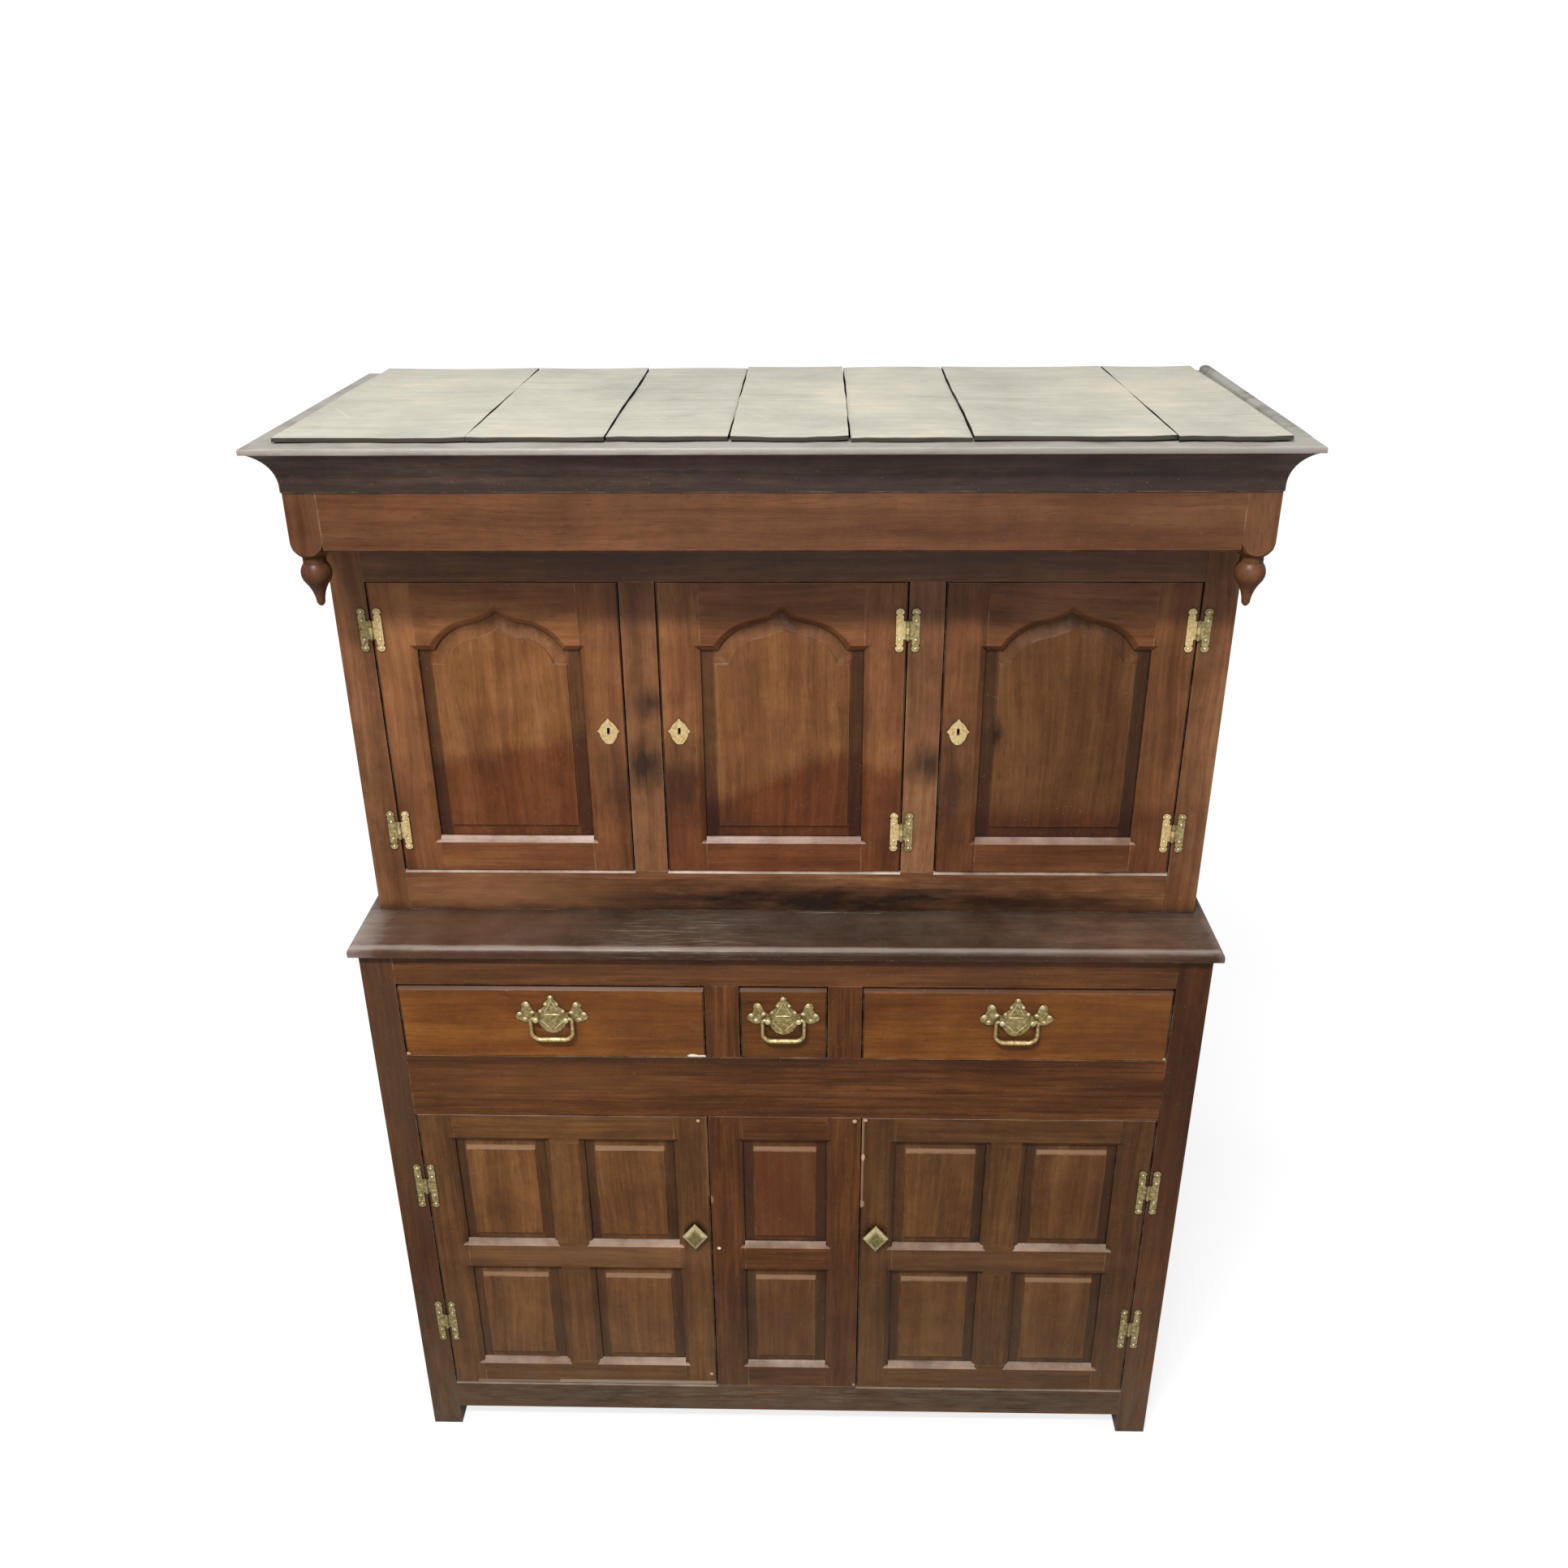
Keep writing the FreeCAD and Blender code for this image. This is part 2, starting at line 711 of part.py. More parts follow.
def build_runners(inside, depth, face, rear):
    """Runners that carry the drawers, with guides that keep them straight."""
    run_y = (face[1], rear[0])
    run_z = (drawer_level - s.runner_height, drawer_level)
    guide_z = (drawer_level, drawer_level + s.guide_height)
    items = []
    for side in (-1, 1):
        outer_x = on_side(side, inside - s.runner_width, inside)
        guide_x = on_side(side, inside, base_half - s.rail_thickness)
        guide_y = (base_front + s.base_stile_depth + s.moulding_width,
                   base_front + depth - s.base_stile_depth - s.moulding_width)
        items.append(box("outer_runner", outer_x, run_y, run_z))
        items.append(box("outer_guide", guide_x, guide_y, (run_z[0], guide_z[1])))
        muntin = (s.small_drawer_opening / 2, s.small_drawer_opening / 2 + s.drawer_muntin_width)
        inner_x = on_side(side, muntin[0] - s.runner_width / 2, muntin[1] + s.runner_width / 2)
        items.append(box("inner_runner", inner_x, run_y, run_z))
        items.append(box("inner_guide", on_side(side, *muntin), run_y, guide_z))
    sub_part("drawer_runners", items)


def build_base_top():
    """Two boards with a rounded edge along the front and both ends."""
    body = new_body("base_top_whole")
    half = base_half + s.base_top_overhang
    front = base_front - s.base_top_overhang
    sketch = new_sketch(body, "XY_Plane", base_frame_level)
    draw(sketch, [(-half, front), (half, front), (half, back), (-half, back)])
    slab = pad(body, sketch, s.base_top_thickness)
    doc.recompute()
    edges = []
    for number, edge in enumerate(slab.Shape.Edges, start=1):
        middle_point = edge.CenterOfMass
        on_top = abs(middle_point.z - upper_level.value) < 1e-6
        if on_top and abs(middle_point.y - back.value) > 1e-6:
            edges.append(f"Edge{number}")
    nosing = body.newObject("PartDesign::Fillet", "base_top_nosing_round")
    nosing.Base = (slab, edges)
    bind(nosing, Radius=s.base_top_nosing)
    joint = front + s.base_top_board
    z = (base_frame_level, upper_level)
    front_half = box("base_top_front", middle(half), (front, joint), z)
    rear_half = box("base_top_rear", middle(half), (joint, back), z)
    sub_part("base_top", [common("base_top_front_board", body, front_half),
                          common("base_top_rear_board", body, rear_half)])


def build_upper():
    depth = s.base_depth - s.upper_setback - s.back_thickness
    inside = upper_half - s.upper_stile_width
    face = (upper_front, upper_front + s.rail_thickness)
    rear = (upper_front + depth - s.rail_thickness, upper_front + depth)
    bottom_z = (upper_level, upper_door_level)
    top_z = (upper_top_rail_level, frieze_level)

    bottom_rail, bottom_tenon = rail_with_tenons("upper_bottom_rail", middle(inside), face, bottom_z)
    top_rail, top_tenon = rail_with_tenons("upper_top_rail", middle(inside), face, top_z)
    rear_rails = [rail_with_tenons("upper_rear_rail", middle(inside), rear, z) for z in (bottom_z, top_z)]

    # Muntins between the doors, mortised for the lock bolts
    muntins, muntin_tenons = [], []
    for side in (-1, 1):
        near = upper_opening_width() / 2
        x = on_side(side, near, near + s.upper_muntin_width)
        muntin, tenon = muntin_with_tenons("upper_muntin", x, face, (upper_door_level, upper_top_rail_level))
        muntin_tenons.append(tenon)
        muntins.append(cut("upper_muntin_cut", muntin, bolt_mortises(side)))
    pitch = upper_opening_width() + s.upper_muntin_width
    sills = [sill_bevel("upper_sill", middle(upper_opening_width() / 2, step * pitch), upper_door_level,
                        upper_front) for step in (-1, 0, 1)]
    front_rails = [cut("upper_bottom_rail_cut", bottom_rail, muntin_tenons + sills),
                   cut("upper_top_rail_cut", top_rail, muntin_tenons)]

    height = frieze_level - upper_level
    side_rails = [(as_size(0), s.upper_bottom_rail), (height - s.upper_top_rail, height)]
    sides = carcase_sides("upper", upper_half, upper_front, depth, s.upper_stile_depth, side_rails,
                          upper_level, columns=2)
    tenons = [bottom_tenon, top_tenon] + [tenon for _, tenon in rear_rails]
    stiles = corner_stiles("upper", upper_half, upper_front, depth, s.upper_stile_width, s.upper_stile_depth,
                           (upper_level, frieze_level), sides, tenons)
    sub_part("upper_stiles", stiles)
    sub_part("upper_front_rails", front_rails)
    sub_part("upper_muntins", muntins)
    sub_part("upper_side_and_rear_rails", sides.rails + [rail for rail, _ in rear_rails])
    sub_part("upper_side_panels", sides.panels)
    sub_part("upper_backboards",
             boards_across("upper_back", middle(upper_half), (back - s.back_thickness, back),
                           (upper_level, frieze_level), 6))
    sub_part("upper_floor", floor_on_bearers("upper", upper_half, s.upper_stile_width, s.upper_stile_depth,
                                             upper_front, depth, upper_door_level, boards=2))


def upper_opening_width():
    """Width of each of the three door openings of the upper stage."""
    return (s.upper_width - 2 * s.upper_stile_width - 2 * s.upper_muntin_width) / 3


def upper_door_width():
    return upper_opening_width() - 2 * s.door_gap


def lower_door_width():
    return base_half - s.base_stile_width - s.centre_width / 2 - 2 * s.door_gap


# Frieze, pendants, cornice and roof

def build_frieze():
    z = (frieze_level, cornice_level)
    block_inside = upper_half - s.corner_block
    frieze_back = frieze_front + s.frieze_thickness
    board = box("frieze_front", middle(block_inside), (frieze_front, frieze_back), z)
    bevel = frustum("frieze_bevel", middle(block_inside), (frieze_front, frieze_front + s.frieze_bevel),
                    (frieze_level, frieze_level + s.frieze_bevel), middle(block_inside),
                    (frieze_level, frieze_level + s.bevel_foot))
    items = [cut("frieze_front_board", board, [bevel])]
    return_inside = upper_half - s.frieze_thickness
    for side in (-1, 1):
        x = on_side(side, return_inside, upper_half)
        items.append(box("frieze_return", x, (frieze_front + s.corner_block, back), z))
    items.append(box("roof_back_rail", middle(return_inside), (back - s.frieze_thickness, back),
                     (frieze_level, roof_level)))
    sub_part("frieze_boards", items)
    soffit_y = (frieze_back, upper_front + s.rail_thickness)
    soffit_z = (frieze_level, frieze_level + s.soffit_thickness)
    soffit = box("soffit_board", middle(return_inside), soffit_y, soffit_z)
    notches = [box("soffit_notch", on_side(side, block_inside, upper_half),
                   (frieze_front, frieze_front + s.corner_block), soffit_z) for side in (-1, 1)]
    sub_part("soffit", [cut("soffit_notched", soffit, notches)])


def build_pendants():
    """Corner blocks of the frieze, each turned below into a ball with a hollow taper and a round tip."""
    items = []
    half = s.corner_block / 2
    neck = s.pendant_neck_radius
    ball = s.pendant_ball_radius
    taper = s.pendant_taper_radius
    ball_neck = root(ball * ball - neck * neck)
    ball_taper = root(ball * ball - taper * taper)
    # The turning is a little wider than the square block, so that it cuts arches into its four faces
    top_radius = 1.02 * root(2 * half * half)
    shoulder_run = top_radius - neck
    shoulder_square = shoulder_run * shoulder_run + s.pendant_shoulder * s.pendant_shoulder
    shoulder_radius = shoulder_square / (2 * shoulder_run)
    nose = s.pendant_length - s.pendant_tip_drop
    nose_radius = root(nose * nose + s.pendant_tip_radius * s.pendant_tip_radius)
    neck_level = frieze_level - s.pendant_neck_drop
    shoulder_level = neck_level + s.pendant_shoulder
    for side in (-1, 1):
        x = on_side(side, upper_half - s.corner_block, upper_half)
        y = (frieze_front, frieze_front + s.corner_block)
        block = box("pendant_block", x, y, (shoulder_level, cornice_level))
        square = box("pendant_square", x, y, (neck_level - 2 * s.pendant_length, shoulder_level))
        body = new_body("pendant_turning")
        sketch = new_sketch(body, "XZ_Plane")
        draw(sketch, [
            (0, s.pendant_shoulder),
            (top_radius, s.pendant_shoulder, -shoulder_radius),
            (neck, 0),
            (neck, ball_neck - s.pendant_ball_drop, -ball),
            (taper, -s.pendant_ball_drop - ball_taper, s.pendant_taper_hollow),
            (s.pendant_tip_radius, -s.pendant_tip_drop, -nose_radius),
            (0, -s.pendant_length),
        ])
        turning = body.newObject("PartDesign::Revolution", "pendant_turned")
        turning.Profile = sketch
        turning.ReferenceAxis = (sketch, ["V_Axis"])
        place(body, side * (upper_half - half), frieze_front + half, neck_level)
        items.append(fuse("pendant", [block, common("pendant_end", body, square)]))
    sub_part("corner_pendants", items)


def cornice_outline(outward):
    """Cornice section; outward is 1 or -1, and zero is the face of the frieze."""
    hollow_out = s.cornice_projection - s.cornice_lip_out
    hollow_top = s.cornice_height - s.cornice_lip
    rise = hollow_top - s.cornice_fascia_height
    run = hollow_out - s.cornice_fascia_out
    # The hollow starts upright, in line with the fascia
    hollow = (rise * rise + run * run) / (2 * run)
    nose = s.cornice_nose
    corners = [
        (-s.frieze_thickness, 0),
        (s.cornice_fascia_out, 0),
        (s.cornice_fascia_out, s.cornice_fascia_height, -outward * hollow),
        (hollow_out, hollow_top),
        (s.cornice_projection, hollow_top),
        (s.cornice_projection, s.cornice_height - nose, outward * nose),
        (s.cornice_projection - nose, s.cornice_height),
        (-s.frieze_thickness, s.cornice_height),
    ]
    return [(outward * corner[0],) + corner[1:] for corner in corners]


def build_cornice():
    """A front length and two returns, mitred at the corners."""
    tip_half = upper_half + s.cornice_projection
    tip_front = frieze_front - s.cornice_projection
    inner_half = upper_half - s.frieze_thickness
    inner_front = frieze_front + s.frieze_thickness
    z = (cornice_level, roof_level)
    mitre = frustum("cornice_mitre", middle(tip_half), (tip_front, inner_front), z, middle(inner_half), z)

    front = new_body("cornice_front_length")
    sketch = new_sketch(front, "YZ_Plane")
    draw(sketch, cornice_outline(-1))
    pad(front, sketch, 2 * tip_half)
    place(front, -tip_half, frieze_front, cornice_level)
    items = [common("cornice_front", front, mitre)]
    for side in (-1, 1):
        length = new_body("cornice_return_length")
        sketch = new_sketch(length, "XZ_Plane")
        draw(sketch, cornice_outline(side))
        pad(length, sketch, back - tip_front)
        place(length, side * upper_half, back, cornice_level)
        items.append(cut("cornice_return", length, [mitre]))
    sub_part("cornice", items)


def build_roof():
    """Loose boards of unequal width, laid from front to back on the cornice."""
    half = upper_half + s.cornice_projection - s.roof_side_setback
    y = (frieze_front - s.cornice_projection + s.roof_front_setback, back)
    z = (roof_level, roof_level + s.roof_thickness)
    widths = [s.roof_board_1, s.roof_board_2, s.roof_board_3, s.roof_board_4, s.roof_board_5, s.roof_board_6]
    items = []
    start = -half
    for width in widths:
        items.append(box("roof_board", (start, start + width - s.board_gap), y, z))
        start = start + width
    items.append(box("roof_board", (start, half), y, z))
    sub_part("top_boards", items)


# Hinges

def hinge_leaf(name, side, height, fixed, pin_hole):
    """One leaf of an H hinge; the pin stands on the Z axis and the leaf lies on the plane Y = pin_offset."""
    near = s.hinge_leaf_gap
    far = near + s.hinge_leaf_width
    middle_of_leaf = near + s.hinge_leaf_width / 2
    neck = height / 2 - s.hinge_head
    notch = s.hinge_notch
    head_run = s.hinge_leaf_width / 2 + notch / 4
    head_rise = s.hinge_head - notch
    head_radius = (head_run * head_run + head_rise * head_rise) / (2 * head_rise)
    head_low = height / 2 - head_rise
    top = [
        (near, neck - notch),
        (near + notch, neck),
        (middle_of_leaf - head_run, head_low, -head_radius),
        (middle_of_leaf, height / 2, -head_radius),
        (middle_of_leaf + head_run, head_low),
        (far - notch, neck),
        (far, neck - notch),
    ]
    bottom = []
    for step in range(len(top) - 1, -1, -1):
        radius = top[step - 1][2:] if step > 0 else ()
        bottom.append((top[step][0], -top[step][1]) + radius)
    corners = [(side * corner[0], corner[1]) + tuple(side * r for r in corner[2:])
               for corner in top + bottom]
    body = new_body(name + "_plate")
    sketch = new_sketch(body, "XZ_Plane", -s.pin_offset)
    draw(sketch, corners)
    pad(body, sketch, s.hinge_plate)

    third = s.knuckle_height / 3
    half_gap = s.knuckle_gap / 2
    if fixed:
        spans = [(-s.knuckle_height / 2, -third / 2 - half_gap),
                 (third / 2 + half_gap, s.knuckle_height / 2)]
    else:
        spans = [(-third / 2 + half_gap, third / 2 - half_gap)]
    web_y = (s.pin_offset - s.hinge_plate, s.pin_offset)
    # A shoulder runs beside the knuckles of both leaves
    shoulder_x = on_side(side, s.knuckle_radius + s.knuckle_gap, near + notch)
    pieces = [body, box(name + "_shoulder", shoulder_x, web_y, middle(s.knuckle_height / 2))]
    for span in spans:
        pieces.append(box(name + "_web", on_side(side, 0, near + notch), web_y, span))
        pieces.append(rod_up(name + "_knuckle", s.knuckle_radius, 0, 0, span))
    return cut(name, fuse(name + "_whole", pieces), [pin_hole])


def hinge_set(name, side, height, axis_x, front, centres):
    """Fixed leaves with pins, and moving leaves. Side 1 has the door to the right of the pin."""
    fixed, moving = [], []
    for centre in centres:
        reach = s.knuckle_height / 2 + s.pin_head
        hole = rod_up(name + "_pin_hole", s.pin_radius + s.pin_fit, 0, 0, middle(reach))
        pin = rod_up(name + "_pin", s.pin_radius, 0, 0, middle(reach))
        where = dict(x=axis_x, y=front - s.pin_offset, z=centre)
        fixed_leaf = hinge_leaf(name + "_fixed", -side, height, True, hole)
        moving_leaf = hinge_leaf(name + "_moving", side, height, False, hole)
        fixed.append(group(name + "_fixed_leaf", [fixed_leaf, pin], **where))
        moving.append(group(name + "_moving_leaf", [moving_leaf], **where))
    return fixed, moving


# Upper doors

def ogee_corners(inset):
    """The ogee-headed opening of an upper door, drawn inside its face line by the inset."""
    half = upper_door_width() / 2 - s.upper_door_stile
    convex = s.ogee_convex_radius - inset
    concave = s.ogee_concave_radius + inset
    reach = s.ogee_convex_radius + s.ogee_concave_radius
    shift = s.ogee_concave_x - s.ogee_convex_x
    lift = root(reach * reach - shift * shift)
    convex_level = s.upper_door_shoulder - s.ogee_convex_drop
    shoulder = s.upper_door_shoulder - inset
    drop = s.ogee_convex_drop - inset
    shoulder_x = s.ogee_convex_x + root(convex * convex - drop * drop)
    turn_x = s.ogee_convex_x + convex * shift / reach
    turn_z = convex_level + convex * lift / reach
    cusp = convex_level + lift - root(concave * concave - s.ogee_concave_x * s.ogee_concave_x)
    return mirrored([
        (as_size(0), cusp, concave),
        (turn_x, turn_z, -convex),
        (shoulder_x, shoulder),
        (half - inset, shoulder),
        (half - inset, s.upper_door_bottom_rail + inset),
    ])


def ogee_pad(body, inset, y):
    sketch = new_sketch(body, "XZ_Plane", -as_size(y[1]))
    draw(sketch, ogee_corners(inset))
    pad(body, sketch, y[1] - as_size(y[0]))


def ogee_loft(body, near_inset, far_inset, y):
    near = draw(new_sketch(body, "XZ_Plane", -as_size(y[0])), ogee_corners(as_size(near_inset)))
    far = draw(new_sketch(body, "XZ_Plane", -as_size(y[1])), ogee_corners(as_size(far_inset)))
    loft(body, near, far)


def ogee_cutter():
    """Everything that is taken out of an upper door's frame: the opening, its moulding and the groove."""
    body = new_body("ogee_opening")
    ogee_pad(body, s.moulding_width, (s.moulding_depth, s.door_thickness))
    ogee_loft(body, 0, s.moulding_width, (0, s.moulding_depth))
    ogee_pad(body, s.moulding_width - s.groove_depth, tongue)
    return body


def ogee_panel():
    body = new_body("ogee_panel")
    foot = s.moulding_width + s.panel_margin
    rim = foot + s.upper_bevel_width
    step_depth = s.field_recess + s.field_step
    ogee_pad(body, s.moulding_width - s.tongue_length, tongue)
    ogee_loft(body, rim, foot, (step_depth, s.panel_depth))
    ogee_pad(body, rim, (s.field_recess, step_depth))
    return body


def bolt_level():
    return upper_door_level + s.door_gap + s.lock_level


def bolt_y():
    """Front and back of a lock bolt, in from the door's face."""
    centre = s.door_thickness - s.lock_thickness / 2
    return middle(s.bolt_thickness / 2, centre)


def bolt_mortises(side):
    """Mortises in the muntin on the given side for the bolts that are thrown into it."""
    near = upper_opening_width() / 2
    far = near + s.upper_muntin_width
    deep = s.bolt_throw + s.slide_fit
    y = grow(tuple(upper_front + amount for amount in bolt_y()), s.slide_fit)
    z = grow(middle(s.bolt_height / 2, bolt_level()), s.slide_fit)
    if side < 0:
        spans = [(-far, -far + deep), (-near - deep, -near)]
    else:
        spans = [(far - deep, far)]
    return [box("bolt_mortise", x, y, z) for x in spans]


def escutcheon():
    """A brass keyhole plate with a point at the top and at each side, centred on its keyhole."""
    half = s.escutcheon_width / 2
    top = s.escutcheon_height / 2
    bow = s.escutcheon_height * 0.62
    nick = s.escutcheon_width * 0.14
    body = new_body("escutcheon")
    sketch = new_sketch(body, "XZ_Plane")
    draw(sketch, mirrored([
        (as_size(0), top),
        (nick * 0.7, top - nick, -bow),
        (half - nick * 0.8, nick * 0.8),
        (half, 0),
        (half - nick * 0.8, -nick * 0.8, -bow),
        (nick, nick * 0.25 - top, -2.2 * nick),
        (as_size(0), -top),
    ]))
    slot = s.keyhole_width / 2
    slot_top = s.keyhole_height / 2 - slot
    end_round = 1.2 * slot
    draw(sketch, [
        (-slot, -slot_top),
        (-slot, slot_top, -end_round),
        (slot, slot_top),
        (slot, -slot_top, -end_round),
    ])
    pad(body, sketch, s.escutcheon_thickness)
    return body


def build_upper_door(name, centre_x, hinge_side):
    """One upper door; hinge_side is -1 where it hangs on the left and 1 on the right."""
    width = upper_door_width()
    height = s.upper_door_opening - 2 * s.door_gap
    lock_side = -hinge_side
    half = width / 2 - s.upper_door_stile
    sight_half = half - s.moulding_width
    opening = ogee_cutter()

    # Lock sunk into the back of the free stile, and the keyhole through to it
    edge = width / 2
    lock_y = (s.door_thickness - s.lock_thickness, s.door_thickness)
    lock_z = middle(s.lock_height / 2, s.lock_level)
    case_block = box("lock_block", on_side(lock_side, edge - s.lock_width, edge), lock_y, lock_z)
    key_x = middle(s.keyhole_width / 2, lock_side * (edge - s.keyhole_inset))
    keyhole = box("keyhole", key_x, (0, lock_y[0]), middle(s.keyhole_height / 2, s.lock_level))
    bolt_x = (edge - s.slide_fit - s.bolt_length, edge - s.slide_fit)
    bolt_z = middle(s.bolt_height / 2, s.lock_level)
    bolt = box("lock_bolt", on_side(lock_side, *bolt_x), bolt_y(), bolt_z)
    channel = box("bolt_channel", on_side(lock_side, bolt_x[0] - s.slide_fit, edge),
                  grow(bolt_y(), s.slide_fit), grow(bolt_z, s.slide_fit))

    # Frame of two stiles, a bottom rail and an ogee-headed top rail
    rails, tenons = [], []
    top_z = (s.upper_door_shoulder - s.moulding_width, height)
    bottom_z = (as_size(0), s.upper_door_bottom_rail + s.moulding_width)
    tenon_spans = [(s.upper_door_shoulder, height), (as_size(0), s.upper_door_bottom_rail)]
    for z, tenon_z in zip((top_z, bottom_z), tenon_spans):
        block = box("upper_door_rail", middle(sight_half), (0, s.door_thickness), z)
        tenon = box("upper_door_tenon", middle(sight_half + s.tenon_length), tongue,
                    shrink(tenon_z, s.tenon_inset))
        tenons.append(tenon)
        rails.append(cut("upper_door_rail_cut", fuse("upper_door_rail_whole", [block, tenon]), [opening]))
    stiles = []
    for side in (-1, 1):
        block = box("upper_door_stile", on_side(side, sight_half, edge), (0, s.door_thickness), (0, height))
        lock_tools = [case_block, keyhole] if side == lock_side else []
        stiles.append(cut("upper_door_stile_cut", block, [opening] + tenons + lock_tools))

    where = dict(x=centre_x, y=upper_front, z=upper_door_level + s.door_gap)
    sub_part(name + "_frame", stiles + rails, **where)
    sub_part(name + "_panel", [ogee_panel()], **where)
    sub_part(name + "_lock_case", [cut("lock_case", case_block, [channel])], **where)
    sub_part(name + "_lock_bolt", [bolt], **where)

    # Hinge leaves and escutcheon
    axis_x = centre_x + hinge_side * (width / 2 + s.door_gap / 2)
    lowest = upper_door_level + s.upper_hinge_bottom
    centres = (lowest, lowest + s.upper_hinge_spacing)
    fixed, moving = hinge_set(name + "_hinge", -hinge_side, s.upper_hinge_height, axis_x, upper_front,
                              centres)
    plate = group(name + "_escutcheon", [escutcheon()], centre_x + lock_side * (edge - s.keyhole_inset),
                  upper_front, upper_door_level + s.door_gap + s.lock_level)
    sub_part(name + "_brass", moving + [plate])
    return fixed


def build_upper_doors():
    pitch = upper_opening_width() + s.upper_muntin_width
    fixed = build_upper_door("upper_left_door", -pitch, -1)
    fixed += build_upper_door("upper_middle_door", as_size(0), 1)
    fixed += build_upper_door("upper_right_door", pitch, 1)
    sub_part("upper_hinge_leaves", fixed)


# Lower doors

def lozenge_outline(body, y, share):
    """The upright lozenge of a knob, drawn at one depth and at a share of its full size."""
    half_width = s.knob_half_width * share
    half_height = s.knob_half_height * share
    sketch = new_sketch(body, "XZ_Plane", -as_size(y))
    return draw(sketch, [(0, half_height), (half_width, 0), (0, -half_height), (-half_width, 0)])


def build_lower_door(name, side):
    """One lower door; it hangs on the outer side and its knob is next to the fixed centre."""
    width = lower_door_width()
    height = s.base_door_opening - 2 * s.door_gap
    knob_x = -side * (width / 2 - s.knob_inset)
    thickness = (0, s.door_thickness)
    spindle_hole = rod_back("spindle_hole", s.spindle_radius + s.spindle_fit, knob_x, thickness,
                            s.knob_level)
    members, panels = panelled_frame(name, width, height, s.lower_door_member, columns=2, rows=2,
                                     thickness=s.door_thickness, stile_cuts={-side: [spindle_hole]})
    opening_middle = (s.centre_width / 2 + base_half - s.base_stile_width) / 2
    where = dict(x=side * opening_middle, y=base_front, z=base_floor_level + s.door_gap)
    sub_part(name + "_frame", members, **where)
    sub_part(name + "_panels", panels, **where)

    # Lozenge knob outside, spindle through the stile, turn button hanging inside
    neck_y = (-s.spindle_fit - s.knob_neck_length, -s.spindle_fit)
    edge_y = (neck_y[0] - s.knob_edge, neck_y[0])
    crown_y = (edge_y[0] - s.knob_crown, edge_y[0])
    lozenge = new_body("lozenge")
    pad(lozenge, lozenge_outline(lozenge, edge_y[1], 1), s.knob_edge)
    loft(lozenge, lozenge_outline(lozenge, crown_y[1], 1),
         lozenge_outline(lozenge, crown_y[0], s.knob_top_share))
    place(lozenge, knob_x, 0, s.knob_level)
    neck = rod_back("knob_neck", s.knob_neck_radius, knob_x, neck_y, s.knob_level)
    button_start = s.rail_thickness + s.button_clearance
    button_y = (button_start, button_start + s.button_thickness)
    spindle = rod_back("knob_spindle", s.spindle_radius, knob_x, (neck_y[0], button_y[1]), s.knob_level)
    button_z = (s.knob_level - s.button_length, s.knob_level + s.button_width / 2)
    button = box("turn_button", middle(s.button_width / 2, knob_x), button_y, button_z)
    sub_part(name + "_knob", [fuse(name + "_knob_whole", [lozenge, neck, spindle, button])], **where)

    axis_x = side * (base_half - s.base_stile_width - s.door_gap / 2)
    lowest = base_floor_level + s.lower_hinge_bottom
    centres = (lowest, lowest + s.lower_hinge_spacing)
    fixed, moving = hinge_set(name + "_hinge", -side, s.lower_hinge_height, axis_x, base_front, centres)
    sub_part(name + "_hinges", moving)
    return fixed


def build_lower_doors():
    fixed = build_lower_door("lower_left_door", -1)
    fixed += build_lower_door("lower_right_door", 1)
    sub_part("base_hinge_leaves", fixed)


# Drawers

def handle_plate(holes):
    """A cusped and lobed back plate, centred between its posts."""
    half = s.plate_width / 2
    tall = s.plate_height
    outline = [
        (as_size(0), 0.56 * tall, -0.065 * tall),
        (0.07 * half, 0.46 * tall),
        (0.20 * half, 0.35 * tall, -0.06 * tall),
        (0.18 * half, 0.26 * tall),
        (0.34 * half, 0.16 * tall, -0.08 * tall),
        (0.38 * half, 0.07 * tall, 0.25 * tall),
        (0.58 * half, 0.28 * tall, -0.14 * tall),
        (0.75 * half, 0.39 * tall, -0.12 * tall),
        (0.81 * half, 0.23 * tall, 0.3 * tall),
        (half, 0.03 * tall, -0.12 * tall),
        (0.88 * half, -0.12 * tall, -0.16 * tall),
        (0.65 * half, -0.16 * tall, 0.14 * tall),
        (0.46 * half, -0.09 * tall),
        (0.40 * half, -0.15 * tall, -0.5 * tall),
        (0.20 * half, -0.42 * tall, -0.3 * tall),
        (as_size(0), -0.48 * tall),
    ]
    body = new_body("handle_plate")
    sketch = new_sketch(body, "XZ_Plane")
    draw(sketch, mirrored(outline))
    pad(body, sketch, s.plate_thickness)
    return cut("handle_plate_cut", body, holes)


